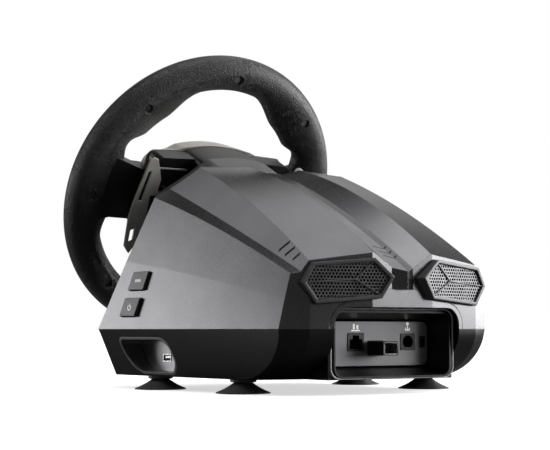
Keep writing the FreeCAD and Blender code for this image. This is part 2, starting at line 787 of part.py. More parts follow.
floor_z = size("floor_height")
group("cup_studs", [rod(x, y, 4.4, size("stud_radius"), 7.0).fuse(
    rod(x, y, floor_z, STUD_HEAD, STUD_TOP - floor_z)) for x, y in CUPS.values()])
group("base_screws", [rod(x, y, floor_z - 0.2, SCREW_HEAD, 1.4).fuse(rod(x, y, floor_z, SCREW_RADIUS - 0.1, 30))
                      for x, y in POSTS])
cx_, cy_ = CLAMP_AT
clamp = doc.addObject("PartDesign::Body", "clamp_socket")
ring = new_sketch(clamp, "clamp_ring", "XY_Plane", floor_z)
circle(ring, cx_, cy_, CLAMP_OUTER)
circle(ring, cx_, cy_, size("clamp_bore"), "dims.clamp_bore")
pad(clamp, ring, "clamp_pad", 14.0)
keep(clamp, "clamp_socket")

# ---------------------------------------------------------------- steering column
plate_low_y, plate_high_y = -60.0, 32.0
NEAR_PLATE, FAR_PLATE = 110.0, 142.0
GEAR_AT = 124.0
pitch_radius = size("gear_module") * size("wheel_gear_teeth") / 2
sensor_pitch = size("gear_module") * size("sensor_gear_teeth") / 2
SENSOR_X = pitch_radius + sensor_pitch
SENSOR_SHAFT = 3.0
width = size("bearing_width")


def bearing_bracket():
    """Two upright plates on a sole, square to the steering axis, on four legs."""
    frame = block(-46, plate_low_y, -NEAR_PLATE - width, 58, plate_high_y, -NEAR_PLATE)
    frame = frame.fuse(block(-46, plate_low_y, -FAR_PLATE - width, 58, plate_high_y, -FAR_PLATE))
    frame = frame.fuse(block(-46, plate_low_y - 6, -FAR_PLATE - width, 58, plate_low_y, -NEAR_PLATE))
    frame = frame.cut(rod(0, 0, -200, size("bearing_radius"), 150))
    frame = frame.cut(rod(SENSOR_X, 0, -200, SENSOR_SHAFT + 0.06, 150))
    frame = in_wheel(frame)
    for depth in (NEAR_PLATE + 3, FAR_PLATE + 3):
        foot = WHEEL.multVec(Vector(0, plate_low_y - 3, -depth))
        for x in (-38.0, 38.0):
            frame = frame.fuse(rod(x, foot.y, floor_z + 3.0, 6.0, foot.z - floor_z - 3.0))
    return frame


keep_shape("bearing_bracket", bearing_bracket())
bearing_ring = rod(0, 0, 0, size("bearing_radius"), width).cut(
    rod(0, 0, -1, size("shaft_radius") + size("running_gap"), width + 2))
bearings = []
for depth in (NEAR_PLATE, FAR_PLATE):
    ring = bearing_ring.copy()
    ring.translate(Vector(0, 0, -depth - width))
    bearings.append(in_wheel(ring))
group("shaft_bearings", bearings)


def shaft():
    """The steering shaft: a flange behind the armature and a long journal."""
    bar = rod(0, 0, -172, size("shaft_radius"), 172 - 3)
    return bar.fuse(rod(0, 0, -8.0, 22.0, 8.0 - size("armature_thickness") / 2))


keep_shape("steering_shaft", shaft(), WHEEL)


def involute_gear(teeth, bore, phase):
    """Outline points of a spur gear: straight chords between points on each involute."""
    module, pressure, play = size("gear_module"), math.radians(25.0), 0.10
    pitch = module * teeth / 2
    base = pitch * math.cos(pressure)
    tip, root = pitch + 0.9 * module, pitch - 1.2 * module
    spread = (math.pi * module / 2 - play) / pitch / 2 + math.tan(pressure) - pressure
    points = []
    for tooth in range(int(teeth)):
        middle = phase + 2 * math.pi * tooth / teeth
        flank = []
        for step in range(4):
            radius = max(base, root) + (tip - max(base, root)) * step / 3
            angle = math.acos(min(1.0, base / radius))
            flank.append((radius, spread - (math.tan(angle) - angle)))
        if root < base:
            flank.insert(0, (root, flank[0][1] + 0.01))
        for radius, half in flank:
            points.append((radius * math.cos(middle - half), radius * math.sin(middle - half)))
        for radius, half in reversed(flank):
            points.append((radius * math.cos(middle + half), radius * math.sin(middle + half)))
    gear = prism(points, 0, size("gear_width"))
    return gear.cut(rod(0, 0, -1, bore, 20))


steering_gear = involute_gear(size("wheel_gear_teeth"), size("shaft_radius"), 0.0)
steering_gear.translate(Vector(0, 0, -GEAR_AT - size("gear_width")))
keep_shape("steering_gear", steering_gear, WHEEL)
sensor = involute_gear(size("sensor_gear_teeth"), 0.5, math.pi - math.pi / size("sensor_gear_teeth"))
sensor = sensor.fuse(rod(0, 0, -26.0, SENSOR_SHAFT, 26.5))
sensor.translate(Vector(SENSOR_X, 0, -GEAR_AT - size("gear_width")))
keep_shape("sensor_gear", sensor, WHEEL)
sensor_can = rod(SENSOR_X, 0, -FAR_PLATE - width - 12, 10.0, 12).cut(
    rod(SENSOR_X, 0, -FAR_PLATE - width - 11.5, SENSOR_SHAFT + 0.06, 30))
keep_shape("angle_sensor", sensor_can, WHEEL)
drum = rod(0, 0, -FAR_PLATE - width - 16, 26.0, 16).cut(
    rod(0, 0, -200, size("shaft_radius") + size("running_gap"), 100))
drum = drum.cut(rod(0, 0, -FAR_PLATE - width - 14, 22.0, 12))
keep_shape("spring_drum", drum, WHEEL)
collar_outer = [(37.5, 41.0), (34.5, 50.0, 27.0, 53.6), (0, 56.0, -27.0, 53.6),
                (-34.5, 50.0, -37.5, 41.0), (-37.5, -36.0), (-34.0, -45.0, -26.0, -48.0), (26.0, -48.0),
                (34.0, -45.0, 37.5, -36.0)]
COLLAR_WALL = 3.0
COLLAR_SCALE = 1 - COLLAR_WALL / 37.5
collar_inner = [tuple(v * COLLAR_SCALE for v in p) for p in collar_outer]
slots = [[(x - 3, 60), (x - 3, 40), (x + 3, 40), (x + 3, 60)] for x in (-27, -9, 9, 27)]
collar = prism(collar_outer, -size("pocket_depth"), -size("collar_front")).cut(
    prism(collar_inner, -size("pocket_depth") - 1, -size("collar_front") + 1))
for slot in slots:
    collar = collar.cut(prism(slot, -86.0, -82.0))
keep_shape("column_collar", collar, WHEEL)

# ---------------------------------------------------------------- rumble motors
MOTOR_AT = (58.0, 20.0, 32.0)
MOTOR_RADIUS = 12.0
MOTOR_LENGTH = 25.0
WEIGHT_RADIUS = 10.0
motors = []
for side in (1, -1):
    x, y, z = MOTOR_AT
    motors.append(rod(side * (x + MOTOR_LENGTH), y, z, MOTOR_RADIUS, MOTOR_LENGTH, Vector(-side, 0, 0))
                  .cut(rod(side * (x - 1), y, z, 1.06, 5.0, Vector(side, 0, 0)))
                  .fuse(block(min(side * (x + 2), side * (x + 22)), y - 8, floor_z + 3,
                              max(side * (x + 2), side * (x + 22)), y + 8, z - 9)))
group("rumble_motors", motors)
for side, word in ((1, "right"), (-1, "left")):
    x, y, z = MOTOR_AT
    half = rod(side * (x - 1), y, z, WEIGHT_RADIUS, 7.0, Vector(-side, 0, 0)).common(
        block(-FAR, -FAR, -FAR, FAR, FAR, z))
    half = half.fuse(rod(side * (x + 3), y, z, 1.0, 11.0, Vector(-side, 0, 0)))
    half = half.fuse(rod(side * (x - 1), y, z, 3.0, 7.0, Vector(-side, 0, 0)))
    keep_shape("rumble_weight_" + word, half)

# ---------------------------------------------------------------- wheel: rim
rim_r, tube_r = size("rim_radius"), size("tube_radius")
THUMB_RADIUS = 110.0
THUMB_TUBE = 13.0
THUMB_FROM, THUMB_TO = 30.0, 50.0
SPOKE_ANGLES = (0.0, 180.0, 270.0)
SPOKE_HALF = 14.0


def rim_form():
    """The rim's round tube with a swelling for each thumb."""
    form = Part.makeTorus(rim_r, tube_r)
    for first in (THUMB_FROM, 180.0 - THUMB_TO):
        bend = Part.makeTorus(THUMB_RADIUS, THUMB_TUBE, Vector(0, 0, 0), Vector(0, 0, 1), 0, 360,
                              THUMB_TO - THUMB_FROM)
        bend.rotate(Vector(0, 0, 0), Vector(0, 0, 1), first)
        form = form.fuse(bend)
        for angle in (first, first + THUMB_TO - THUMB_FROM):
            a = math.radians(angle)
            form = form.fuse(Part.makeSphere(THUMB_TUBE, Vector(THUMB_RADIUS * math.cos(a),
                                                                THUMB_RADIUS * math.sin(a), 0)))
    return form


def spoke_bars(half_width, half_thick, inner, outer):
    """The three straight bars of the armature, or the slots that they pass through."""
    bars = []
    for angle in SPOKE_ANGLES:
        bar = block(inner, -half_width, -half_thick, outer, half_width, half_thick)
        bar.rotate(Vector(0, 0, 0), Vector(0, 0, 1), angle)
        bars.append(bar)
    return bars


rim_outer = rim_form()
rim_inner = Part.makeTorus(rim_r, tube_r - size("rim_wall"))
rim_shell = rim_outer.cut(rim_inner)
for bar in spoke_bars(SPOKE_HALF + 0.3, size("armature_thickness") / 2 + 0.1, 60.0, rim_r):
    rim_shell = rim_shell.cut(bar)
SCREW_CIRCLE = 122.0
RIM_SCREWS = [(SCREW_CIRCLE * math.cos(math.radians(a)), SCREW_CIRCLE * math.sin(math.radians(a)))
              for a in range(0, 360, 45)]
BOSS_RADIUS = 4.6
HEAD_SEAT = -11.3
for x, y in RIM_SCREWS:
    boss = rod(x, y, -14.0, BOSS_RADIUS, 14.0 - size("armature_thickness") / 2 - 0.1)
    rim_shell = rim_shell.fuse(boss).cut(rod(x, y, -20.0, 3.4, 20.0 + HEAD_SEAT)).cut(rod(x, y, -20, 1.4, 20))
keep_shape("rim_back_shell", rim_shell.common(block(-FAR, -FAR, -FAR, FAR, FAR, 0)), WHEEL)
keep_shape("rim_front_shell", rim_shell.common(block(-FAR, -FAR, 0, FAR, FAR, FAR)), WHEEL)


def armature():
    """The metal insert: a flat ring in the tube, three bars and a hub disc."""
    half = size("armature_thickness") / 2
    ring = rod(0, 0, -half, rim_r + 7, 2 * half).cut(rod(0, 0, -half - 1, rim_r - 7, 2 * half + 2))
    for bar in spoke_bars(SPOKE_HALF, half, 10.0, rim_r - 5):
        ring = ring.fuse(bar)
    ring = ring.fuse(rod(0, 0, -half, 26.0, 2 * half))
    for x, y in RIM_SCREWS:
        ring = ring.cut(rod(x, y, -10, 1.3, 20))
    return ring


keep_shape("rim_armature", armature(), WHEEL)
group("rim_screws", [in_wheel(rod(x, y, HEAD_SEAT - 2.0, 3.0, 2.0).fuse(
    rod(x, y, HEAD_SEAT - 2.0, 1.3, 2.0 - HEAD_SEAT + 2.5))) for x, y in RIM_SCREWS])

# ---------------------------------------------------------------- wheel: hub
ARM_RIGHT = [(68.6, -22.0), (100.0, -21.0), (120.0, -26.0), (120.0, 42.0), (98.0, 35.0), (78.0, 28.0),
             (68.6, 27.6)]
ARM_LOW = [(-24.6, -42.0), (-16.0, -120.0), (16.0, -120.0), (24.6, -42.0)]
ARMS = [ARM_RIGHT, mirrored(ARM_RIGHT), ARM_LOW]
ARCH = [(36.5, -44.0), (36.5, 41.0), (35.6, 46.0, 32.0, 49.6), (0, 53.8, -32.0, 49.6),
        (-35.6, 46.0, -36.5, 41.0), (-36.5, -44.0)]
POD = [(34.0, -34.0), (66.0, -30.0), (71.0, -24.0), (72.0, 40.0), (70.0, 44.4, 66.0, 46.2), (34.0, 47.2)]
arm_low, arm_high = -size("arm_rear"), size("arm_front")
rim_clear = Part.makeTorus(rim_r, tube_r + 0.2)
for first in (THUMB_FROM, 180.0 - THUMB_TO):
    for angle in (first, first + THUMB_TO - THUMB_FROM):
        a = math.radians(angle)
        rim_clear = rim_clear.fuse(Part.makeSphere(THUMB_TUBE + 0.2, Vector(
            THUMB_RADIUS * math.cos(a), THUMB_RADIUS * math.sin(a), 0)))
PIN_X, PIN_Z = 63.0, -34.2
LUG_HALF = 20.0


def inner_of(points, wall):
    """The inside of a straight or slightly rounded outline, as straight edges."""
    return inset([p[-2:] for p in points], wall)


def hub_housing():
    """The rear half of the hub: a middle arch, two pods and three arms, hollow inside."""
    wall = size("wall")
    rear, pod_rear, seam = -size("hub_rear"), -size("pod_rear"), -size("plate_rear")
    hub = prism(ARCH, rear, seam)
    for pod in (POD, mirrored(POD)):
        hub = hub.fuse(prism(pod, pod_rear, seam))
    for arm in ARMS:
        hub = hub.fuse(prism(arm, arm_low, arm_high))
    hollow = prism(inner_of(ARCH, wall), rear + wall, 30)
    for pod in (POD, mirrored(POD)):
        hollow = hollow.fuse(prism(inner_of(pod, wall), pod_rear + wall, seam + 0.1))
    for arm in ARMS:
        hollow = hollow.fuse(prism(inner_of(arm, wall), arm_low + wall, 30))
    hollow = hollow.fuse(block(-76, -19.0, arm_low + wall, 76, 24.0, 30))
    hollow = hollow.fuse(block(-21, -48, arm_low + wall, 21, 0, 30))
    hub = hub.cut(hollow).cut(rim_clear).cut(rod(0, 0, -60, size("shaft_radius") + 0.3, 40))
    for side in (1, -1):
        for y in (-LUG_HALF, LUG_HALF - 4):
            x0 = side * PIN_X
            lug = block(x0 - 3.5, y, PIN_Z - 3, x0 + 3.5, y + 4, pod_rear)
            hub = hub.fuse(lug.cut(rod(x0, -40, PIN_Z, size("hinge_pin_radius"), 80, Vector(0, 1, 0))))
    return hub


keep_shape("hub_housing", hub_housing(), WHEEL)
PLATE_BACK = [(74.0, -30.0), (75.0, 10.0), (73.6, 40.0), (71.6, 44.6, 67.4, 46.6), (43.0, 47.8), (37.4, 50.0),
              (0, 54.4, -37.4, 50.0), (-43.0, 47.8), (-67.4, 46.6), (-71.6, 44.6, -73.6, 40.0),
              (-75.0, 10.0), (-74.0, -30.0), (-50.0, -44.0), (-28.0, -49.0), (28.0, -49.0), (50.0, -44.0)]
PLATE_FACE = [(69.0, -28.0), (70.6, 9.0), (64.4, 27.0), (62.0, 32.2, 57.4, 36.0), (42.0, 41.0), (34.0, 46.0),
              (0, 50.8, -34.0, 46.0), (-42.0, 41.0), (-57.4, 36.0), (-62.0, 32.2, -64.4, 27.0),
              (-70.6, 9.0), (-69.0, -28.0), (-47.0, -42.0), (-27.0, -47.0), (27.0, -47.0), (47.0, -42.0)]
FACE_X, FACE_Y, FACE_STEP = 51.0, 12.0, 10.5
FACE_BUTTONS = {"north": (0, 1), "east": (1, 0), "south": (0, -1), "west": (-1, 0)}
DPAD_AT = (-51.0, 12.0)
MENU_AT = (19.0, 40.0)
HOME_AT = (0.0, -32.0)
DPAD_WELL = 15.0
MENU_HALF = (6.5, 2.8)
gap = size("button_gap")


def plate_form(shrink=0.0):
    """The plate's outer form, which tapers from the housing's outline to its face, or the
    same form moved inwards.  Its walls are ruled between the two outlines."""
    back, face = -size("plate_rear"), size("plate_front")
    if shrink:
        low, high = inner_of(PLATE_BACK, shrink), inner_of(PLATE_FACE, shrink)
    else:
        low, high = PLATE_BACK, PLATE_FACE
    wires = [face_of(low, back).OuterWire, face_of(high, face).OuterWire]
    return Part.makeLoft(wires, True, True)


def front_plate():
    """The bright tray that faces the driver, with walls back to the housing."""
    wall = size("plate_wall")
    face = size("plate_front")
    hollow = plate_form(wall).common(block(-FAR, -FAR, -FAR, FAR, FAR, face - wall))
    plate = plate_form().cut(hollow)
    for arm in ARMS:
        plate = plate.cut(prism(inset([p[-2:] for p in arm], -0.2), arm_low - 1, arm_high + 0.2))
    for dx, dy in FACE_BUTTONS.values():
        plate = plate.cut(rod(FACE_X + dx * FACE_STEP, FACE_Y + dy * FACE_STEP, 0,
                              size("button_radius") + gap, 30))
    plate = plate.cut(rod(DPAD_AT[0], DPAD_AT[1], 0, DPAD_WELL, 30))
    for side in (1, -1):
        plate = plate.cut(prism(rounded(side * MENU_AT[0], MENU_AT[1], MENU_HALF[0] + gap,
                                        MENU_HALF[1] + gap, MENU_HALF[1]), 0, 30))
    return plate.cut(rod(HOME_AT[0], HOME_AT[1], 0, 6.0 + gap, 30))


keep_shape("hub_front_plate", front_plate(), WHEEL)


def spoke_covers():
    """The three covers over the arms, outside the bright plate."""
    covers = []
    keep_out = plate_form(-0.3)
    for arm in ARMS:
        cover = prism(inset([p[-2:] for p in arm], 0.6), arm_high, arm_high + size("cover_thickness"))
        covers.append(in_wheel(cover.cut(keep_out).cut(rim_clear)))
    return covers


group("spoke_covers", spoke_covers())
BOARD = [(63.0, -22.0), (63.0, 24.0), (54.0, 34.0), (33.0, 41.0), (-33.0, 41.0), (-54.0, 34.0), (-63.0, 24.0),
         (-63.0, -22.0), (-20.0, -40.0), (20.0, -40.0)]
slab("wheel_board", BOARD, 4.0, size("board_thickness"), WHEEL, "dims.board_thickness")
slab("centre_cap", rounded(0, 4, 24, 20, 19.0), size("plate_front"), 2.0, WHEEL)
TRIM_INNER, TRIM_OUTER = 41.0, 72.4
TRIM_LOW, TRIM_HIGH = 35.4, 37.0
TRIM_PROUD = 0.5
trims = []
for side in (1, -1):
    ends = sorted((side * TRIM_INNER, side * TRIM_OUTER))
    trims.append(in_wheel(block(ends[0], TRIM_LOW, -size("pod_rear") - TRIM_PROUD,
                                ends[1], TRIM_HIGH, -size("pod_rear"))))
group("pod_trims", trims)

# ---------------------------------------------------------------- wheel: controls
FLANGE_LOW, FLANGE_HIGH = 7.2, 9.2
CAP_TOP = size("plate_front") + 2.6
for word, (dx, dy) in FACE_BUTTONS.items():
    x, y = FACE_X + dx * FACE_STEP, FACE_Y + dy * FACE_STEP
    r = size("button_radius")
    turned("button_" + word,
           [(0.0, FLANGE_LOW), (r + 1.2, FLANGE_LOW), (r + 1.2, FLANGE_HIGH), (r, FLANGE_HIGH),
            (r, CAP_TOP - 0.8), (r - 0.3, CAP_TOP - 0.3, r - 1.0, CAP_TOP - 0.1), (0.0, CAP_TOP)],
           WHEEL.multiply(Placement(Vector(x, y, 0), Rotation())))
for side, word in ((-1, "left"), (1, "right")):
    slab("menu_button_" + word, rounded(side * MENU_AT[0], MENU_AT[1], *MENU_HALF, MENU_HALF[1] - 0.1),
         FLANGE_LOW, size("plate_front") + 1.6 - FLANGE_LOW, WHEEL)
turned("home_button", [(0.0, FLANGE_LOW), (7.2, FLANGE_LOW), (7.2, FLANGE_HIGH), (6.0, FLANGE_HIGH),
                       (6.0, size("plate_front") + 1.4), (0.0, size("plate_front") + 1.8)],
       WHEEL.multiply(Placement(Vector(HOME_AT[0], HOME_AT[1], 0), Rotation())))
DPAD_ARM, DPAD_HALF = 12.6, 4.6
dx, dy = DPAD_AT
slab("dpad", [(dx + DPAD_ARM, dy - DPAD_HALF), (dx + DPAD_ARM, dy + DPAD_HALF),
              (dx + DPAD_HALF, dy + DPAD_HALF), (dx + DPAD_HALF, dy + DPAD_ARM),
              (dx - DPAD_HALF, dy + DPAD_ARM), (dx - DPAD_HALF, dy + DPAD_HALF),
              (dx - DPAD_ARM, dy + DPAD_HALF), (dx - DPAD_ARM, dy - DPAD_HALF),
              (dx - DPAD_HALF, dy - DPAD_HALF), (dx - DPAD_HALF, dy - DPAD_ARM),
              (dx + DPAD_HALF, dy - DPAD_ARM), (dx + DPAD_HALF, dy - DPAD_HALF)],
     10.4, size("plate_front") + 2.2 - 10.4, WHEEL)
turned("dpad_pivot", [(0.0, 6.4), (4.0, 6.4), (4.0, 8.0), (2.0, 10.0), (0.0, 10.2)],
       WHEEL.multiply(Placement(Vector(dx, dy, 0), Rotation())))

# ---------------------------------------------------------------- wheel: shift paddles
BLADE = [(76.0, 46.5), (68.4, 27.0), (69.4, 15.0), (61.0, 15.0), (61.0, -15.0), (72.0, -15.0), (77.0, -34.0),
         (84.0, -47.0), (90.0, -40.0), (92.4, -12.0), (91.0, 5.0), (84.0, 45.0), (80.0, 47.4)]
BLADE_SLOT = [(79.6, 35.0), (83.0, 5.0), (87.2, 6.0), (82.8, 34.0)]
BLADE_WINDOW = [(83.6, -22.0), (83.0, -34.0), (87.0, -36.0), (87.6, -24.0)]
ROOT_WINDOW = [(65.8, 11.0), (65.8, -9.0), (75.0, -9.0), (76.0, 11.0)]
KNUCKLE = 2.9
blade_top = PIN_Z + 0.6


def paddle(side):
    """A flat metal blade with its openings, on a knuckle that turns on its pin."""
    flip = (lambda ring: ring) if side > 0 else mirrored
    low = blade_top - size("paddle_thickness")
    blade = prism(flip(BLADE), low, blade_top)
    for opening in (BLADE_SLOT, BLADE_WINDOW, ROOT_WINDOW):
        blade = blade.cut(prism(flip(opening), low - 1, blade_top + 1))
    x = side * PIN_X
    bore = rod(x, -30, PIN_Z, size("hinge_pin_radius") + size("running_gap"), 60, Vector(0, 1, 0))
    knuckle = rod(x, -15.0, PIN_Z, KNUCKLE, 2 * 15.0, Vector(0, 1, 0))
    return blade.fuse(knuckle).cut(bore)


keep_shape("paddle_right", paddle(1), WHEEL)
keep_shape("paddle_left", paddle(-1), WHEEL)
group("paddle_pins", [in_wheel(rod(side * PIN_X, -LUG_HALF, PIN_Z, size("hinge_pin_radius"),
                                   2 * LUG_HALF, Vector(0, 1, 0))) for side in (1, -1)])

# ---------------------------------------------------------------- check and write
doc.recompute()
for obj in doc.Objects:
    if "Invalid" in obj.State or "Error" in obj.State:
        raise RuntimeError("%s is %s" % (obj.Label, obj.State))
os.makedirs("parts", exist_ok=True)
for label, obj in PARTS:
    shape = obj.Shape
    if shape.isNull() or not shape.isValid() or not shape.Solids:
        raise RuntimeError("%s has no valid solid" % label)
    shape.exportStep("parts/%s.step" % label)
    box = shape.BoundBox
    print("%-24s solids %d  volume %9.0f  x %7.1f %7.1f  y %7.1f %7.1f  z %7.1f %7.1f" % (
        label, len(shape.Solids), shape.Volume, box.XMin, box.XMax, box.YMin, box.YMax, box.ZMin, box.ZMax))
print(len(PARTS), "parts")
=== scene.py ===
import json
import math

import bmesh
import bpy
import numpy as np
from mathutils import Matrix, Vector

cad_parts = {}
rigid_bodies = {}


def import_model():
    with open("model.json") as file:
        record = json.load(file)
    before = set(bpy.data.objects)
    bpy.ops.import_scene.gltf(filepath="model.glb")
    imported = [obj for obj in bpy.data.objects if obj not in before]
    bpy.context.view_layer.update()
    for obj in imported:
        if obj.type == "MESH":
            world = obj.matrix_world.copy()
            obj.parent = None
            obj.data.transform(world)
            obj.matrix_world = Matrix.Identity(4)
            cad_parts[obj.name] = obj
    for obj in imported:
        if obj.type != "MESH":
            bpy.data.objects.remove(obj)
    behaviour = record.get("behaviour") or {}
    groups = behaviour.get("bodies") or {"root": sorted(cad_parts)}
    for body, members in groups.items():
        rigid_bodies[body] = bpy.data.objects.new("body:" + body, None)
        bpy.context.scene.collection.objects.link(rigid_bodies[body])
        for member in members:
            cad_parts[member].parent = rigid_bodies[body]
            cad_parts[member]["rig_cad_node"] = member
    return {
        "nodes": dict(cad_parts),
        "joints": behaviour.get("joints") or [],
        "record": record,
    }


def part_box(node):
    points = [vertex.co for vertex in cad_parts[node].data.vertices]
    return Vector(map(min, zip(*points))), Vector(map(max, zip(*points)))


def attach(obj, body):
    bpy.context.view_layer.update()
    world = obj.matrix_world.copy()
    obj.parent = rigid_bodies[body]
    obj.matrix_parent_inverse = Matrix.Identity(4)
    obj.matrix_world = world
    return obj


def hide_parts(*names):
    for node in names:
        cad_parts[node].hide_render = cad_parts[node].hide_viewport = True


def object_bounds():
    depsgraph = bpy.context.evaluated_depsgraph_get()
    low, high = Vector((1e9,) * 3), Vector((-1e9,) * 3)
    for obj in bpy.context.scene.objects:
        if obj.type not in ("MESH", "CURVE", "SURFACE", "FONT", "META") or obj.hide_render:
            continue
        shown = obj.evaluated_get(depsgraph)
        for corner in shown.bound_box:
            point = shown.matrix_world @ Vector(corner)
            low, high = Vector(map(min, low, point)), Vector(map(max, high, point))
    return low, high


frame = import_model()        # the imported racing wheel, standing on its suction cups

for leftover in [o for o in bpy.data.objects
                 if o.type in ("MESH", "LIGHT", "CAMERA") and "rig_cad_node" not in o]:
    bpy.data.objects.remove(leftover)
CAD_LOW, CAD_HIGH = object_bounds()
NODES = frame["nodes"]
SLOT_OF = {s["node"]: s["material_slot"] for s in frame["record"]["subparts"]}
JOINTS = {j["name"]: j for j in frame["joints"]}
STEERING = JOINTS["steering"]

MM = 0.001
BASE, WHEEL = "base", "steering_wheel"


# ---------------------------------------------------------------- places
def frame_matrix(origin, across, up, out):
    """A frame with its x, y and z axes along three directions of the row frame."""
    place = Matrix.Identity(4)
    for column, axis in enumerate((across, up, out)):
        for row in range(3):
            place[row][column] = axis[row]
    place.translation = origin
    return place


RIM_AXIS = Vector(STEERING["axis"]).normalized()
RIM_AXIS = RIM_AXIS if RIM_AXIS.z > 0 else -RIM_AXIS          # towards the driver
RIM_UP = RIM_AXIS.cross(Vector((1, 0, 0)))
WHEEL_FRAME = frame_matrix(Vector(STEERING["pos_m"]), Vector((1, 0, 0)), RIM_UP, RIM_AXIS)


def to_row(points, place):
    """Points in millimetres in a frame of the object, as metres in the row frame."""
    turn = np.array(place.to_3x3())
    return np.asarray(points, float) * MM @ turn.T + np.array(place.translation)


# ---------------------------------------------------------------- node helper
def linear(code, alpha=1.0):
    """An sRGB hex colour as linear red, green, blue and alpha."""
    parts = [int(code[i:i + 2], 16) / 255 for i in (0, 2, 4)]
    return tuple(p / 12.92 if p <= 0.04045 else ((p + 0.055) / 1.055) ** 2.4
                 for p in parts) + (alpha,)


def node(tree, kind, inputs=None, feeds=None, **settings):
    """Adds a node with its settings, sets or links its inputs, and links its outputs on to
    the sockets they feed."""
    made = tree.nodes.new(kind)
    for name, value in settings.items():
        setattr(made, name, value)
    for key, value in (inputs or {}).items():
        if isinstance(value, bpy.types.NodeSocket):
            tree.links.new(value, made.inputs[key])
        else:
            made.inputs[key].default_value = value
    for key, socket in (feeds or {}).items():
        tree.links.new(made.outputs[key], socket)
    return made


def start_material(name):
    """An empty material with its output and its Principled shader."""
    material = bpy.data.materials.new(name)
    material.use_nodes = True
    tree = material.node_tree
    tree.nodes.clear()
    shader = node(tree, "ShaderNodeBsdfPrincipled")
    node(tree, "ShaderNodeOutputMaterial", {"Surface": shader.outputs[0]})
    return material, tree, shader


def scale_of(size_mm):
    """A texture's scale for marks that are about this many millimetres across."""
    return 1.0 / (size_mm * MM)


MIX_A, MIX_B, MIX_OUT = 6, 7, 2     # a Mix node's sockets for colours
EDGE_SAMPLES = 4
GROOVE_SAMPLES = 6


def worn_edges(tree, radius_mm, reach=0.12):
    """1 on the object's sharp outer edges and 0 on its faces: how far a rounded normal
    turns from the real one."""
    rounded = node(tree, "ShaderNodeBevel", {"Radius": radius_mm * MM}, samples=EDGE_SAMPLES)
    true_normal = node(tree, "ShaderNodeNewGeometry").outputs["Normal"]
    cosine = node(tree, "ShaderNodeVectorMath", {0: rounded.outputs[0], 1: true_normal},
                  operation="DOT_PRODUCT").outputs["Value"]
    return node(tree, "ShaderNodeMapRange",
                {"Value": cosine, "From Min": 1.0 - reach, "From Max": 1.0 - reach * 0.15,
                 "To Min": 1.0, "To Max": 0.0}).outputs["Result"]


# ---------------------------------------------------------------- materials
EDGE_ROUND_MM = 0.5        # radius that a moulded edge looks to have
WEAR_REACH_MM = 0.7        # width of the rubbed band along an edge
GROOVE_MM = 1.4            # how near a wall has to be for painted shade to darken a groove
# colour of the painted shade laid into grooves and corners
GROOVE_PAINTED_SHADE = "0a0a0a"


def moulded(name, dark, light, roughness, metallic=0.0, grain_mm=0.55, grain_depth=0.05,
            wear=None, specular=0.5):
    """Injection-moulded plastic with a spark-eroded grain: matt, a little uneven, with edges
    rubbed brighter and painted shade darkening its grooves and corners.  The grain is drawn at
    half a millimetre so that it shows."""
    material, tree, shader = start_material(name)
    place = node(tree, "ShaderNodeTexCoord").outputs["Object"]
    cloud = node(tree, "ShaderNodeTexNoise",
                 {"Vector": place, "Scale": scale_of(38.0), "Detail": 4.0}).outputs["Fac"]
    grain = node(tree, "ShaderNodeTexNoise",
                 {"Vector": place, "Scale": scale_of(grain_mm), "Detail": 2.0,
                  "Roughness": 0.6}).outputs["Fac"]
    tone = node(tree, "ShaderNodeMapRange",
                {"Value": cloud, "From Min": 0.3, "From Max": 0.7}).outputs["Result"]
    colour = node(tree, "ShaderNodeMix",
                  {"Factor": tone, MIX_A: linear(dark), MIX_B: linear(light)},
                  data_type="RGBA").outputs[MIX_OUT]
    if wear:
        patches = node(tree, "ShaderNodeMapRange",
                       {"Value": cloud, "From Min": 0.42, "From Max": 0.6, "To Min": 0.25,
                        "To Max": 0.9}).outputs["Result"]
        edge = node(tree, "ShaderNodeMath", {0: worn_edges(tree, WEAR_REACH_MM), 1: patches},
                    operation="MULTIPLY").outputs[0]
        colour = node(tree, "ShaderNodeMix",
                      {"Factor": edge, MIX_A: colour, MIX_B: linear(wear)},
                      data_type="RGBA").outputs[MIX_OUT]
    # Painted shade: where walls close in (ambient occlusion), the colour is darkened towards
    # near black
    open_sky = node(tree, "ShaderNodeAmbientOcclusion", {"Distance": GROOVE_MM * MM},
                    samples=GROOVE_SAMPLES).outputs["AO"]
    painted_groove_shade = node(tree, "ShaderNodeMapRange",
                   {"Value": open_sky, "From Min": 0.45, "From Max": 0.85, "To Min": 0.85,
                    "To Max": 0.0}).outputs["Result"]
    node(tree, "ShaderNodeMix", {"Factor": painted_groove_shade, MIX_A: colour, MIX_B: linear(GROOVE_PAINTED_SHADE)},
         data_type="RGBA", feeds={MIX_OUT: shader.inputs["Base Color"]})
    node(tree, "ShaderNodeMapRange",
         {"Value": grain, "From Min": 0.3, "From Max": 0.7, "To Min": roughness - 0.05,
          "To Max": roughness + 0.06}, feeds={0: shader.inputs["Roughness"]})
    rounded = node(tree, "ShaderNodeBevel", {"Radius": EDGE_ROUND_MM * MM},
                   samples=EDGE_SAMPLES).outputs[0]
    node(tree, "ShaderNodeBump",
         {"Height": grain, "Distance": grain_depth * MM, "Strength": 0.6, "Normal": rounded},
         feeds={0: shader.inputs["Normal"]})
    shader.inputs["Metallic"].default_value = metallic
    shader.inputs["Specular IOR Level"].default_value = specular
    return material


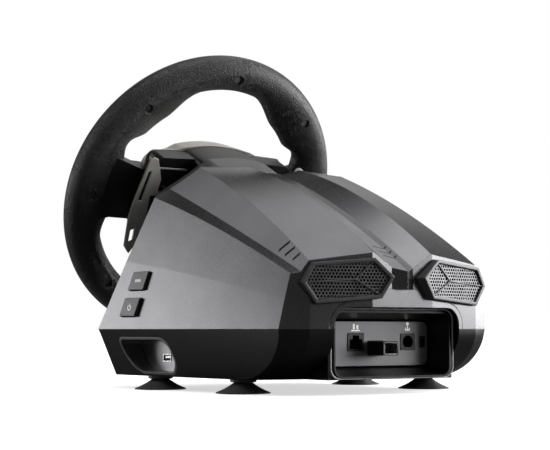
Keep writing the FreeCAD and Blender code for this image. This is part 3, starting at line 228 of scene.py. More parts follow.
def polished(name, dark, light, roughness=0.12):
    """Polished black ABS: deep colour, clear reflections, a few fine hairlines."""
    material, tree, shader = start_material(name)
    place = node(tree, "ShaderNodeTexCoord").outputs["Object"]
    cloud = node(tree, "ShaderNodeTexNoise",
                 {"Vector": place, "Scale": scale_of(12.0), "Detail": 3.0}).outputs["Fac"]
    stretched = node(tree, "ShaderNodeMapping",
                     {"Vector": place, "Scale": (1.0, 1.0, 14.0)}).outputs[0]
    hair = node(tree, "ShaderNodeTexNoise",
                {"Vector": stretched, "Scale": scale_of(1.6), "Detail": 4.0}).outputs["Fac"]
    node(tree, "ShaderNodeMix", {"Factor": cloud, MIX_A: linear(dark), MIX_B: linear(light)},
         data_type="RGBA", feeds={MIX_OUT: shader.inputs["Base Color"]})
    node(tree, "ShaderNodeMapRange",
         {"Value": hair, "From Min": 0.35, "From Max": 0.75, "To Min": roughness,
          "To Max": roughness + 0.14}, feeds={0: shader.inputs["Roughness"]})
    node(tree, "ShaderNodeBump", {"Height": cloud, "Distance": 0.03 * MM, "Strength": 0.25},
         feeds={0: shader.inputs["Normal"]})
    return material


def metal(name, dark, light, roughness, brush=(1.0, 1.0, 1.0), streak_mm=0.5, depth=0.01,
          wear=None, metallic=1.0):
    """Bare or plated metal: brushed where its streaks are drawn out, cloudy where not.
    A metallic below 1 is metal under a thin lacquer, which scatters some light."""
    material, tree, shader = start_material(name)
    place = node(tree, "ShaderNodeTexCoord").outputs["Object"]
    brushed = node(tree, "ShaderNodeMapping", {"Vector": place, "Scale": brush}).outputs[0]
    streak = node(tree, "ShaderNodeTexNoise",
                  {"Vector": brushed, "Scale": scale_of(streak_mm), "Detail": 5.0,
                   "Roughness": 0.65}).outputs["Fac"]
    cloud = node(tree, "ShaderNodeTexNoise",
                 {"Vector": place, "Scale": scale_of(9.0), "Detail": 3.0}).outputs["Fac"]
    tone = node(tree, "ShaderNodeMapRange",
                {"Value": streak, "From Min": 0.3, "From Max": 0.7}).outputs["Result"]
    colour = node(tree, "ShaderNodeMix",
                  {"Factor": tone, MIX_A: linear(dark), MIX_B: linear(light)},
                  data_type="RGBA").outputs[MIX_OUT]
    if wear:
        colour = node(tree, "ShaderNodeMix",
                      {"Factor": worn_edges(tree, EDGE_ROUND_MM), MIX_A: colour,
                       MIX_B: linear(wear)}, data_type="RGBA").outputs[MIX_OUT]
    tree.links.new(colour, shader.inputs["Base Color"])
    node(tree, "ShaderNodeMapRange",
         {"Value": cloud, "From Min": 0.3, "From Max": 0.7, "To Min": roughness - 0.05,
          "To Max": roughness + 0.07}, feeds={0: shader.inputs["Roughness"]})
    node(tree, "ShaderNodeBump", {"Height": streak, "Distance": depth * MM, "Strength": 0.5},
         feeds={0: shader.inputs["Normal"]})
    shader.inputs["Metallic"].default_value = metallic
    return material


FLAKE_MM = 0.35            # drawn coarser than real flake, so that it shows


def flake_paint(name, dark, light):
    """Warm silver paint over plastic: fine metal flake under a satin clear coat."""
    material, tree, shader = start_material(name)
    place = node(tree, "ShaderNodeTexCoord").outputs["Object"]
    flake = node(tree, "ShaderNodeTexVoronoi",
                 {"Vector": place, "Scale": scale_of(FLAKE_MM)}).outputs["Color"]
    level = node(tree, "ShaderNodeSeparateColor", {0: flake}).outputs[0]
    cloud = node(tree, "ShaderNodeTexNoise",
                 {"Vector": place, "Scale": scale_of(45.0), "Detail": 2.0}).outputs["Fac"]
    mottle = node(tree, "ShaderNodeMath", {0: level, 1: cloud}, operation="MULTIPLY").outputs[0]
    tone = node(tree, "ShaderNodeMapRange",
                {"Value": mottle, "From Min": 0.0, "From Max": 0.6}).outputs["Result"]
    node(tree, "ShaderNodeMix", {"Factor": tone, MIX_A: linear(dark), MIX_B: linear(light)},
         data_type="RGBA", feeds={MIX_OUT: shader.inputs["Base Color"]})
    node(tree, "ShaderNodeMapRange", {"Value": level, "To Min": 0.30, "To Max": 0.42},
         feeds={0: shader.inputs["Roughness"]})
    node(tree, "ShaderNodeBump", {"Height": level, "Distance": 0.006 * MM, "Strength": 0.3},
         feeds={0: shader.inputs["Normal"]})
    shader.inputs["Metallic"].default_value = 0.55
    shader.inputs["Coat Weight"].default_value = 0.35
    shader.inputs["Coat Roughness"].default_value = 0.25
    return material


def soft_rubber(name, dark, light):
    """Black cup rubber: dull, with a fine grain and a little dust."""
    material, tree, shader = start_material(name)
    place = node(tree, "ShaderNodeTexCoord").outputs["Object"]
    dust = node(tree, "ShaderNodeTexNoise",
                {"Vector": place, "Scale": scale_of(3.0), "Detail": 6.0,
                 "Roughness": 0.7}).outputs["Fac"]
    fine = node(tree, "ShaderNodeTexNoise",
                {"Vector": place, "Scale": scale_of(0.5), "Detail": 2.0}).outputs["Fac"]
    tone = node(tree, "ShaderNodeMapRange",
                {"Value": dust, "From Min": 0.45, "From Max": 0.8}).outputs["Result"]
    node(tree, "ShaderNodeMix", {"Factor": tone, MIX_A: linear(dark), MIX_B: linear(light)},
         data_type="RGBA", feeds={MIX_OUT: shader.inputs["Base Color"]})
    node(tree, "ShaderNodeMapRange",
         {"Value": dust, "From Min": 0.3, "From Max": 0.7, "To Min": 0.36, "To Max": 0.52},
         feeds={0: shader.inputs["Roughness"]})
    node(tree, "ShaderNodeBump", {"Height": fine, "Distance": 0.04 * MM, "Strength": 0.5},
         feeds={0: shader.inputs["Normal"]})
    return material


PORE_PITCH = 2.9           # dimples of the rim's skin, in millimetres
CREASE_PITCH = 1.1         # cells of its fine grain
PORE_DEPTH_MM = 0.30


def rim_skin(name):
    """Black perforated leather-look skin: fine grain with small round pores, and palms'
    polish where the hands lie.  It reads the rim's own UV map, in millimetres."""
    material, tree, shader = start_material(name)
    along = node(tree, "ShaderNodeUVMap", uv_map="skin").outputs[0]
    pores = node(tree, "ShaderNodeTexVoronoi",
                 {"Vector": along, "Scale": 1.0 / PORE_PITCH, "Randomness": 0.95},
                 voronoi_dimensions="2D").outputs["Distance"]
    pit = node(tree, "ShaderNodeMapRange",
               {"Value": pores, "From Min": 0.12, "From Max": 0.36}).outputs["Result"]
    cells = node(tree, "ShaderNodeTexVoronoi", {"Vector": along, "Scale": 1.0 / CREASE_PITCH},
                 feature="DISTANCE_TO_EDGE", voronoi_dimensions="2D").outputs["Distance"]
    crease = node(tree, "ShaderNodeMapRange",
                  {"Value": cells, "From Min": 0.0, "From Max": 0.18}).outputs["Result"]
    shallow = node(tree, "ShaderNodeMapRange",
                   {"Value": crease, "To Min": 0.0, "To Max": 0.35}).outputs["Result"]
    height = node(tree, "ShaderNodeMath", {0: pit, 1: crease, 2: shallow},
                  operation="MULTIPLY_ADD").outputs[0]
    place = node(tree, "ShaderNodeTexCoord").outputs["Object"]
    palm = node(tree, "ShaderNodeTexNoise",
                {"Vector": place, "Scale": scale_of(55.0), "Detail": 3.0}).outputs["Fac"]
    # Painted shade: each pore is coloured darker towards its middle, as shade in the pit
    node(tree, "ShaderNodeMix",
         {"Factor": pit, MIX_A: linear("030303"), MIX_B: linear("0b0b0b")},
         data_type="RGBA", feeds={MIX_OUT: shader.inputs["Base Color"]})
    node(tree, "ShaderNodeMapRange",
         {"Value": palm, "From Min": 0.35, "From Max": 0.65, "To Min": 0.24, "To Max": 0.34},
         feeds={0: shader.inputs["Roughness"]})
    node(tree, "ShaderNodeBump",
         {"Height": height, "Distance": PORE_DEPTH_MM * MM, "Strength": 1.0},
         feeds={0: shader.inputs["Normal"]})
    shader.inputs["Specular IOR Level"].default_value = 0.6
    return material


def circuit_board(name):
    """Green solder-masked board: copper tracks show as slightly lighter lines."""
    material, tree, shader = start_material(name)
    place = node(tree, "ShaderNodeTexCoord").outputs["Object"]
    node(tree, "ShaderNodeTexBrick",
         {"Vector": place, "Scale": 220.0, "Color1": linear("0d3b22"),
          "Color2": linear("0b3520"), "Mortar": linear("1c5a34")},
         feeds={0: shader.inputs["Base Color"]})
    blotch = node(tree, "ShaderNodeTexNoise",
                  {"Vector": place, "Scale": scale_of(2.0), "Detail": 3.0}).outputs["Fac"]
    node(tree, "ShaderNodeMapRange",
         {"Value": blotch, "From Min": 0.3, "From Max": 0.7, "To Min": 0.25, "To Max": 0.4},
         feeds={0: shader.inputs["Roughness"]})
    return material


def printed_mark(name):
    """Pad-printed pale ink, a little thin in places, glowing faintly as painted light so that
    it reads bright.
    """
    material, tree, shader = start_material(name)
    place = node(tree, "ShaderNodeTexCoord").outputs["Object"]
    thin = node(tree, "ShaderNodeTexNoise",
                {"Vector": place, "Scale": scale_of(0.8), "Detail": 3.0}).outputs["Fac"]
    node(tree, "ShaderNodeMix",
         {"Factor": thin, MIX_A: linear("c9cac8"), MIX_B: linear("f4f4f2")},
         data_type="RGBA", feeds={MIX_OUT: shader.inputs["Base Color"]})
    node(tree, "ShaderNodeMapRange",
         {"Value": thin, "From Min": 0.3, "From Max": 0.7, "To Min": 0.45, "To Max": 0.6},
         feeds={0: shader.inputs["Roughness"]})
    # Painted light: the ink glows, though it is no lamp
    shader.inputs["Emission Color"].default_value = linear("f4f4f2")
    shader.inputs["Emission Strength"].default_value = 0.5
    return material


MATERIALS = {
    # satin gunmetal paint on ABS: soft, long reflections on each flat of the shell
    "shell_grey": moulded("satin_gunmetal_abs", "68686a", "707072", 0.24, metallic=0.92,
                          grain_mm=0.45, grain_depth=0.02, wear="8c8c8e"),
    # spark-eroded black ABS: near black, with a weak sheen
    "tray_black": moulded("matt_black_abs", "0b0b0c", "101011", 0.34, grain_depth=0.04,
                          wear="2a2a2b", specular=0.35),
    # grey satin ABS: lighter than the bay round it
    "bay_plate": moulded("bay_plate_abs", "78787a", "838385", 0.42, metallic=0.5),
    # punched steel sheet: cloudy grey with dark holes
    "vent_mesh": metal("bare_perforated_steel", "6c6c6e", "828284", 0.40, streak_mm=1.2),
    # black nylon: the sockets read as dark openings
    "socket_black": moulded("socket_nylon", "0b0b0c", "121213", 0.4, grain_mm=0.4),
    # tin plate: the brightest metal, on contacts and shells
    "connector_metal": metal("tinned_steel", "a9a9ab", "cfcfd1", 0.26,
                             brush=(1.0, 0.15, 1.0), wear="f0f0f0"),
    # keys in dark grey ABS with rubbed edges
    "key_grey": moulded("key_abs", "58585a", "626264", 0.38, metallic=0.45, wear="8c8c8e"),
    # moulded rubber: dull and slightly dusty
    "cup_rubber": soft_rubber("cup_rubber", "3c3c3d", "4c4c4d"),
    # zinc plate: cool grey, on screws and bearings
    "zinc_steel": metal("zinc_plated_steel", "8c8e92", "b4b6b8", 0.3),
    # turned brass: warm, on inserts and contacts
    "brass": metal("turned_brass", "9c7a34", "c8a454", 0.28),
    # solder mask over glass-fibre board: deep green
    "board_green": circuit_board("solder_masked_board"),
    # natural nylon: milky white gears
    "gear_nylon": moulded("natural_nylon", "d8d5ca", "e6e3da", 0.45),
    # glass-filled nylon: black and dull, inside only
    "frame_plastic": moulded("glass_filled_nylon", "1a1a1b", "222223", 0.5),
    # perforated skin over foam: black, with many small highlights
    "rim_leather": rim_skin("perforated_rim_skin"),
    # pressed steel with an oily dark finish
    "armature_steel": metal("pressed_steel_insert", "3a3b3d", "4e4f52", 0.4),
    # satin black ABS: the hub's clear but soft highlights
    "hub_black": moulded("satin_black_abs", "121213", "19191a", 0.34, wear="3a3a3b",
                         specular=0.6),
    # silver paint with flake under clear coat: the warm, light face plate
    "plate_silver": flake_paint("warm_silver_paint", "c4c0b6", "ece8de"),
    # lacquered, brushed aluminium: light paddles with streaks along them
    "paddle_metal": metal("brushed_aluminium", "c6c4bc", "ecebe4", 0.46,
                          brush=(1.0, 0.08, 1.0), streak_mm=0.35, wear="fbfaf4",
                          metallic=0.45),
    # polished ABS: black with mirror-like reflections
    "cap_gloss": polished("polished_black_abs", "050505", "0b0b0c"),
    "button_gloss": polished("polished_button_abs", "08080a", "101014", 0.16),
}
MARK = printed_mark("pale_pad_print")
COLLAR_GREY = moulded("collar_grey_abs", "6a6a6c", "767678", 0.42, metallic=0.3,
                      wear="9a9a9c")
# Painted highlight: a pale bead stands in for the bright line of light along the bay's mouth
LIP_PAINTED_HIGHLIGHT = moulded("lip_painted_highlight_abs", "b4b4b6", "c4c4c6", 0.40, metallic=0.15,
                    grain_depth=0.02)
# Painted light: the USB pocket's satin plastic is given a lighter, shinier grey than the bay
# round it, so that its back wall reads lit
POCKET_SATIN_PAINTED_LIGHT = moulded("pocket_satin_painted_light_abs", "8e8e90", "98989a", 0.34, metallic=0.8,
                       grain_depth=0.02)
FRAME_GREY = moulded("vent_frame_abs", "5c5c5e", "666668", 0.34, metallic=0.45,
                     grain_depth=0.02, wear="9c9c9e")

for name, obj in NODES.items():
    obj.data.materials[0] = MATERIALS[SLOT_OF[name]]
NODES["column_collar"].data.materials[0] = COLLAR_GREY
NODES["usb_pocket"].data.materials[0] = POCKET_SATIN_PAINTED_LIGHT
for name in ("vent_frame_right", "vent_frame_left"):
    NODES[name].data.materials[0] = FRAME_GREY


# ---------------------------------------------------------------- mesh helpers
MERGE_MM = 0.002
FLAT_DEGREES = 0.6             # faces that turn less than this are one flat
SHARP_DEGREES = 28             # edges that turn more than this are rounded


def soften(names, width_mm, segments=2):
    """Rounds a casing's sharp edges: merges its loose triangles, joins the flat ones and
    bevels what is left, with the normals weighted by face."""
    for name in names:
        obj = NODES[name]
        weld = obj.modifiers.new("merge", "WELD")
        weld.merge_threshold = MERGE_MM * MM
        flat = obj.modifiers.new("join_flats", "DECIMATE")
        flat.decimate_type = "DISSOLVE"
        flat.angle_limit = math.radians(FLAT_DEGREES)
        bevel = obj.modifiers.new("edges", "BEVEL")
        bevel.width = width_mm * MM
        bevel.segments = segments
        bevel.limit_method = "ANGLE"
        bevel.angle_limit = math.radians(SHARP_DEGREES)
        bevel.miter_outer = "MITER_ARC"
        normals = obj.modifiers.new("face_normals", "WEIGHTED_NORMAL")
        normals.keep_sharp = False


def piece(name, points, faces, material, body, uv=None, smooth=True):
    """A finished mesh in the row frame, in metres, riding on a body."""
    mesh = bpy.data.meshes.new(name)
    faces = faces.tolist() if isinstance(faces, np.ndarray) else faces
    mesh.from_pydata(np.asarray(points, float).tolist(), [], faces)
    mesh.polygons.foreach_set("use_smooth", [smooth] * len(mesh.polygons))
    if uv is not None:
        layer = mesh.uv_layers.new(name="skin")
        layer.data.foreach_set("uv", np.asarray(uv, float).ravel())
    mesh.materials.append(material)
    mesh.validate()
    mesh.update()
    obj = bpy.data.objects.new(name, mesh)
    bpy.context.scene.collection.objects.link(obj)
    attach(obj, body)
    return obj


def points_of(node_name):
    """The points of a CAD node's mesh, in the row frame, in metres."""
    mesh = NODES[node_name].data
    flat = np.empty(3 * len(mesh.vertices), np.float32)
    mesh.vertices.foreach_get("co", flat)
    return flat.reshape(-1, 3).astype(float)


def grid_faces(rows, columns):
    """Quads of a grid that closes on itself both ways, as index rows."""
    i, j = np.meshgrid(np.arange(rows), np.arange(columns), indexing="ij")
    i, j = i.ravel(), j.ravel()
    ni, nj = (i + 1) % rows, (j + 1) % columns
    return np.stack([i * columns + j, ni * columns + j, ni * columns + nj, i * columns + nj], 1)


def smooth_step(value, low, high):
    """0 below low, 1 above high and an S-curve between."""
    t = np.clip((value - low) / (high - low), 0, 1)
    return t * t * (3 - 2 * t)


# ---------------------------------------------------------------- rim
RIM_RADIUS, TUBE_RADIUS = 124.0, 16.0
THUMB_SWELL = 12.0
SCREW_CIRCLE = 122.0
RECESS_RADIUS, RECESS_DEPTH = 3.6, 3.0
RIM_STEPS, TUBE_STEPS = 840, 100
SWELL_RISE, SWELL_FALL = (24, 39), (52, 74)           # degrees from the spoke's line
SPOKE_ROOTS = [(4.0, 13.0), (176.0, 13.0), (270.0, 8.0)]      # middle, half width: degrees
ROOT_SWELL, ROOT_FADE = 11.0, 15.0
SCREW_COUNT = 8


def rim_points():
    """A tube round the steering axis: a point lies RIM_RADIUS out at angle a and
    TUBE_RADIUS round it at angle b.  The inner side swells by up to THUMB_SWELL, rising
    between 24 and 39 degrees from the spoke's line and falling between 52 and 74, on both
    sides, and a lower swelling leads into each spoke.  The back sinks round each screw."""
    a = np.linspace(0, 2 * np.pi, RIM_STEPS, endpoint=False)[:, None]
    b = np.linspace(0, 2 * np.pi, TUBE_STEPS, endpoint=False)[None, :]
    degrees = np.degrees(a)
    fold = np.where(degrees > 90, 180 - degrees, degrees)
    swell = THUMB_SWELL * smooth_step(fold, *SWELL_RISE) * (1 - smooth_step(fold, *SWELL_FALL))
    for middle, half in SPOKE_ROOTS:
        away = np.abs((degrees - middle + 180) % 360 - 180)
        swell = swell + ROOT_SWELL * (1 - smooth_step(away, half, half + ROOT_FADE))
    inward = np.clip(-np.cos(b), 0, 1) ** 1.3
    tube = TUBE_RADIUS + swell * inward
    out = RIM_RADIUS + tube * np.cos(b)
    depth = TUBE_RADIUS * np.sin(b) * (1 + 0.05 * swell / THUMB_SWELL * inward)
    for turn in range(SCREW_COUNT):
        middle = math.radians(360 / SCREW_COUNT * turn)
        dx = out * np.cos(a) - SCREW_CIRCLE * math.cos(middle)
        dy = out * np.sin(a) - SCREW_CIRCLE * math.sin(middle)
        away = np.hypot(dx, dy)
        near = 1 - smooth_step(away, RECESS_RADIUS - 0.7, RECESS_RADIUS + 0.5)
        depth = depth + RECESS_DEPTH * near * (np.sin(b) < 0)
    spread = np.broadcast_to(a, out.shape)
    points = np.stack([out * np.cos(spread), out * np.sin(spread),
                       np.broadcast_to(depth, out.shape)], -1)
    return points.reshape(-1, 3)


def skin_map():
    """Millimetres along the rim and round its tube for each corner of each quad."""
    along = np.arange(RIM_STEPS + 1) / RIM_STEPS * 2 * math.pi * RIM_RADIUS
    around = np.arange(TUBE_STEPS + 1) / TUBE_STEPS * 2 * math.pi * TUBE_RADIUS
    i, j = np.meshgrid(np.arange(RIM_STEPS), np.arange(TUBE_STEPS), indexing="ij")
    i, j = i.ravel(), j.ravel()
    corners = [(i, j), (i + 1, j), (i + 1, j + 1), (i, j + 1)]
    return np.stack([np.stack([along[p], around[q]], -1)
                     for p, q in corners], 1).reshape(-1, 2)


rim = piece("rim_grip", to_row(rim_points(), WHEEL_FRAME), grid_faces(RIM_STEPS, TUBE_STEPS),
            MATERIALS["rim_leather"], WHEEL, skin_map())
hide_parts("rim_back_shell", "rim_front_shell")

# ---------------------------------------------------------------- casing edges
soften(["hub_housing", "column_collar"], 1.0, 3)
soften(["hub_front_plate", "spoke_covers"], 1.2, 3)
soften(["vent_frame_right", "vent_frame_left"], 0.7)
soften(["side_key_upper", "side_key_lower", "dpad", "menu_button_left", "menu_button_right"],
       0.5)
soften(["paddle_right", "paddle_left"], 0.5)
soften(["centre_cap", "pod_trims"], 0.3)


# ---------------------------------------------------------------- vents
MESH_THICK = 0.45
HOLE_PITCH, HOLE_RADIUS = 2.9, 1.08
HOLE_SIDES = 12
SEAM_MM = 0.01                 # points of two cells this near are one


def corners_of(node_name):
    """The corner points of a flat sheet's node, in the row frame."""
    return np.unique(points_of(node_name).round(6), axis=0)


def sheet_frame(node_name):
    """Frame of a flat sheet: z out of it to the rear, x across it and y up."""
    points = corners_of(node_name)
    middle = points.mean(0)
    _, _, axes = np.linalg.svd(points - middle)
    out = Vector(axes[2])
    out = out if out.y > 0 else -out
    up = (Vector((0, 0, 1)) - out * out.z).normalized()
    across = up.cross(out)
    return frame_matrix(Vector(middle), across, up, out)


def hexagon_of(node_name, place):
    """The sheet's outline in its own frame, in millimetres, anticlockwise."""
    inverse = np.array(place.inverted())
    flat = corners_of(node_name) @ inverse[:3, :3].T + inverse[:3, 3]
    flat = np.unique((flat[:, :2] / MM).round(2), axis=0)
    middle = flat.mean(0)
    order = np.argsort(np.arctan2(flat[:, 1] - middle[1], flat[:, 0] - middle[0]))
    ring = flat[order]
    keep = [i for i in range(len(ring)) if np.linalg.norm(ring[i] - ring[i - 1]) > 1.0]
    return ring[keep]


def perforated_cells(low, high):
    """A staggered sheet of round holes: each hole's cell is a six-sided ring of quads from
    the hole's edge to the cell's hexagon."""
    row_pitch = HOLE_PITCH * math.sqrt(3) / 2
    rows = int((high[1] - low[1]) / row_pitch) + 3
    columns = int((high[0] - low[0]) / HOLE_PITCH) + 3
    i, j = np.meshgrid(np.arange(rows), np.arange(columns), indexing="ij")
    centres = np.stack([low[0] + (j + 0.5 * (i % 2)) * HOLE_PITCH,
                        low[1] + i * row_pitch], -1).reshape(-1, 2)
    angle = np.arange(HOLE_SIDES) * 2 * np.pi / HOLE_SIDES + np.pi / 6
    corner = HOLE_PITCH / math.sqrt(3)
    reach = np.where(np.arange(HOLE_SIDES) % 2 == 0, corner, corner * math.cos(math.pi / 6))
    inner = np.stack([np.cos(angle), np.sin(angle)], -1) * HOLE_RADIUS
    outer = np.stack([np.cos(angle), np.sin(angle)], -1) * reach[:, None]
    ring = np.concatenate([inner, outer])
    points = (centres[:, None, :] + ring[None]).reshape(-1, 2)
    k = np.arange(HOLE_SIDES)
    after = (k + 1) % HOLE_SIDES
    quad = np.stack([k, k + HOLE_SIDES, after + HOLE_SIDES, after], 1)
    first = np.arange(len(centres))[:, None, None] * 2 * HOLE_SIDES
    faces = (first + quad[None]).reshape(-1, 4)
    return points, faces


def grille(side_word, body):
    """The perforated sheet cut to the vent's hexagon, with its wall thickness."""
    node_name = "vent_mesh_" + side_word
    place = sheet_frame(node_name)
    ring = hexagon_of(node_name, place)
    points, faces = perforated_cells(ring.min(0), ring.max(0))
    flat = np.column_stack([points, np.zeros(len(points))])
    obj = piece("vent_grille_" + side_word, flat, faces, MATERIALS["vent_mesh"], body,
                smooth=False)
    work = bmesh.new()
    work.from_mesh(obj.data)
    bmesh.ops.remove_doubles(work, verts=work.verts, dist=SEAM_MM)
    for a, b in zip(ring, np.roll(ring, -1, axis=0)):
        run = b - a
        outward = Vector((run[1], -run[0], 0)).normalized()
        everything = work.verts[:] + work.edges[:] + work.faces[:]
        bmesh.ops.bisect_plane(work, geom=everything, plane_co=Vector((a[0], a[1], 0)),
                               plane_no=outward, clear_outer=True)
    bmesh.ops.recalc_face_normals(work, faces=work.faces)
    work.to_mesh(obj.data)
    work.free()
    obj.data.transform(place @ Matrix.Scale(MM, 4))
    wall = obj.modifiers.new("wall", "SOLIDIFY")
    wall.thickness = MESH_THICK * MM
    wall.offset = 0.0
    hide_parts(node_name)
    return place, ring


BAR_TAPER = 0.6                # width of a bar's top over the width of its foot
BOX_FACES = [(0, 3, 2, 1), (4, 5, 6, 7), (0, 1, 5, 4), (1, 2, 6, 5), (2, 3, 7, 6), (3, 0, 4, 7)]


def bar(start, end, width, low, high, ends=0.0):
    """A thin straight bar between two points, with sloping sides, in millimetres: four
    corners half a width to each side of its ends, at its low and at its high level."""
    start, end = np.array(start, float), np.array(end, float)
    run = (end - start) / np.linalg.norm(end - start)
    middle = np.array([start, start, end, end]) + run * ends * np.array([[-1], [-1], [1], [1]])
    aside = np.array([-run[1], run[0]]) * np.array([[1], [-1], [-1], [1]])
    levels = [np.column_stack([middle + aside * half, np.full(4, height)])
              for height, half in ((low, width / 2), (high, width / 2 * BAR_TAPER))]
    return np.concatenate(levels), BOX_FACES


def joined(parts):
    """Several (points, faces) as one."""
    points, faces, count = [], [], 0
    for p, f in parts:
        points.append(np.asarray(p, float))
        faces += [tuple(i + count for i in face) for face in f]
        count += len(p)
    return np.concatenate(points), faces


JUNCTION = (-7.0, 1.0)          # where a vent's three ribs meet, across the row and up
RIB_WIDTH, RIB_FOOT, RIB_TOP, RIB_OVERLAP = 1.3, 0.2, 1.25, 0.3
for word, side in (("right", 1), ("left", -1)):
    place, ring = grille(word, BASE)
    flip = 1 if place.col[0].x * side > 0 else -1
    meet = np.array([JUNCTION[0] * flip, JUNCTION[1]])
    outer = max(ring, key=lambda p: p[0] * flip)
    inner_high = max((p for p in ring if p[0] * flip < 0), key=lambda p: p[1])
    inner_low = min((p for p in ring if p[0] * flip < 0), key=lambda p: p[1])
    bars = [bar(meet, target, RIB_WIDTH, RIB_FOOT, RIB_TOP, RIB_OVERLAP)
            for target in (outer, inner_high, inner_low)]
    points, faces = joined(bars)
    piece("vent_ribs_" + word, to_row(points, place), faces, FRAME_GREY, BASE,
          smooth=False)


# ---------------------------------------------------------------- printed marks
def disc(centre, radius, low, high, sides=20):
    """A short round prism."""
    angle = np.arange(sides) * 2 * np.pi / sides
    ring = np.array(centre) + radius * np.stack([np.cos(angle), np.sin(angle)], -1)
    points = np.concatenate([np.column_stack([ring, np.full(sides, level)])
                             for level in (low, high)])
    k = np.arange(sides)
    after = (k + 1) % sides
    walls = np.stack([k, after, after + sides, k + sides], 1).tolist()
    return points, [k[::-1].tolist(), (k + sides).tolist()] + walls


def arc_strip(centre, radius, width, start, end, low, high, steps=24):
    """A flat curved strip from one angle to another, in degrees."""
    angle = np.radians(np.linspace(start, end, steps))[:, None]
    reach = radius + width / 2 * np.array([-1, 1, 1, -1])
    level = np.broadcast_to([low, low, high, high], (steps, 4))
    points = np.stack([centre[0] + reach * np.cos(angle), centre[1] + reach * np.sin(angle),
                       level], -1).reshape(-1, 3)
    i, k = np.meshgrid(np.arange(steps - 1), np.arange(4), indexing="ij")
    first, second = (4 * i + k).ravel(), (4 * i + (k + 1) % 4).ravel()
    walls = np.stack([first, second, second + 4, first + 4], 1).tolist()
    caps = [(0, 3, 2, 1), tuple(4 * (steps - 1) + corner for corner in range(4))]
    return points, caps + walls


INK = 0.12                      # thickness of the printed marks, in millimetres


def mark(name, shapes, place, body):
    """Printed shapes on a face whose frame has z outward."""
    points, faces = joined(shapes)
    return piece(name, to_row(points, place), faces, MARK, body, smooth=False)


LEFT, UP, REAR = Vector((-1, 0, 0)), Vector((0, 0, 1)), Vector((0, 1, 0))
BAY_FACE = frame_matrix(Vector((0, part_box("port_plate")[1].y, 0)), LEFT, UP, REAR)


def middle_of(node_name):
    """The middle of a node's box."""
    low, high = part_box(node_name)
    return (low + high) / 2


pedal, shifter = middle_of("pedal_socket"), middle_of("shifter_socket")
top_of_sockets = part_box("pedal_socket")[1].z / MM
px, pz = -pedal.x / MM, top_of_sockets + 3.2
mark("pedal_mark", [bar((px - 4.2, pz - 1.0), (px + 4.2, pz - 1.0), 1.0, 0, INK),
                    bar((px - 1.8, pz), (px - 1.8, pz + 4.2), 1.9, 0, INK),
                    bar((px + 1.8, pz), (px + 1.8, pz + 3.4), 1.9, 0, INK)], BAY_FACE, BASE)
sx, sz = -shifter.x / MM, top_of_sockets + 2.6
mark("lever_mark", [disc((sx, sz + 5.0), 1.35, 0, INK),
                    bar((sx, sz + 0.4), (sx, sz + 4.0), 0.8, 0, INK),
                    bar((sx - 2.2, sz), (sx + 2.2, sz), 0.9, 0, INK),
                    bar((sx - 2.0, sz), (sx - 2.0, sz + 1.9), 0.8, 0, INK),
                    bar((sx + 2.0, sz), (sx + 2.0, sz + 1.9), 0.8, 0, INK)],
     BAY_FACE, BASE)


FACE_DEPTH = 0.1 * MM           # points this near the outermost are on the face


def key_frame(node_name):
    """Frame on a side key's outer face: x towards the rear, y up along it, z outward."""
    out = -Vector(JOINTS[node_name + "_press"]["axis"]).normalized()
    points = points_of(node_name)
    heights = points @ np.array(out)
    face = points[heights > heights.max() - FACE_DEPTH]
    rearward = UP.cross(out).normalized()
    return frame_matrix(Vector(face.mean(0)), rearward, out.cross(rearward), out)


for word in ("upper", "lower"):
    place = key_frame("side_key_" + word)
    body = "side_key_%s_body" % word
    if word == "upper":
        shapes = [bar((x, -1.3), (x, 1.3), 1.3, 0, INK) for x in (-3.3, -1.1, 1.1, 3.3)]
    else:
        shapes = [arc_strip((0, -0.4), 2.3, 0.8, 130, 410, 0, INK),
                  bar((0, -0.2), (0, 2.9), 0.8, 0, INK)]
    mark("key_mark_" + word, shapes, place, body)

# ---------------------------------------------------------------- connector details
link_low, link_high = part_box("link_connector")
link_middle = middle_of("link_connector")
LINK_FRAME = frame_matrix(Vector((link_middle.x, link_high.y, link_middle.z)), LEFT, UP, REAR)
half_w, half_h = (link_high.x - link_low.x) / 2 / MM, (link_high.z - link_low.z) / 2 / MM


def square_ring(hw, hh, wall, low, high):
    """A rectangular metal band: an outer and an inner rectangle joined at both ends."""
    corner = np.array([[-1, -1], [1, -1], [1, 1], [-1, 1]])
    rings = [np.column_stack([corner * size, np.full(4, level)])
             for size in ((hw, hh), (hw - wall, hh - wall)) for level in (low, high)]
    faces = []
    for k in range(4):
        n = (k + 1) % 4
        faces += [(k, n, 4 + n, 4 + k), (8 + n, 8 + k, 12 + k, 12 + n),
                  (4 + k, 4 + n, 12 + n, 12 + k), (n, k, 8 + k, 8 + n)]
    return np.concatenate(rings), faces


SHELL_GAP, SHELL_WALL = 0.6, 0.7              # round the plug's metal shell
SHELL_LOW, SHELL_HIGH = -8.0, -0.05
points, faces = square_ring(half_w - SHELL_GAP, half_h - SHELL_GAP, SHELL_WALL,
                            SHELL_LOW, SHELL_HIGH)
piece("link_shell", to_row(points, LINK_FRAME), faces, MATERIALS["connector_metal"], BASE,
      smooth=False)
springs = [bar((-half_w + 2.0, z), (-half_w + 5.0, z), 0.7, -5.0, -4.4)
           for z in (-1.8, 0.0, 1.8)]
points, faces = joined(springs)
piece("link_contacts", to_row(points, LINK_FRAME), faces, MATERIALS["connector_metal"], BASE,
      smooth=False)
PEDAL_FRAME = frame_matrix(Vector((pedal.x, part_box("pedal_socket")[1].y, pedal.z)),
                           LEFT, UP, REAR)
WIRE_PITCH = 1.25
wires = [bar((x * WIRE_PITCH, -5.2), (x * WIRE_PITCH, 1.6), 0.55, -10.0, -9.4)
         for x in range(-4, 5)]
points, faces = joined(wires)
piece("pedal_contacts", to_row(points, PEDAL_FRAME), faces, MATERIALS["brass"], BASE,
      smooth=False)


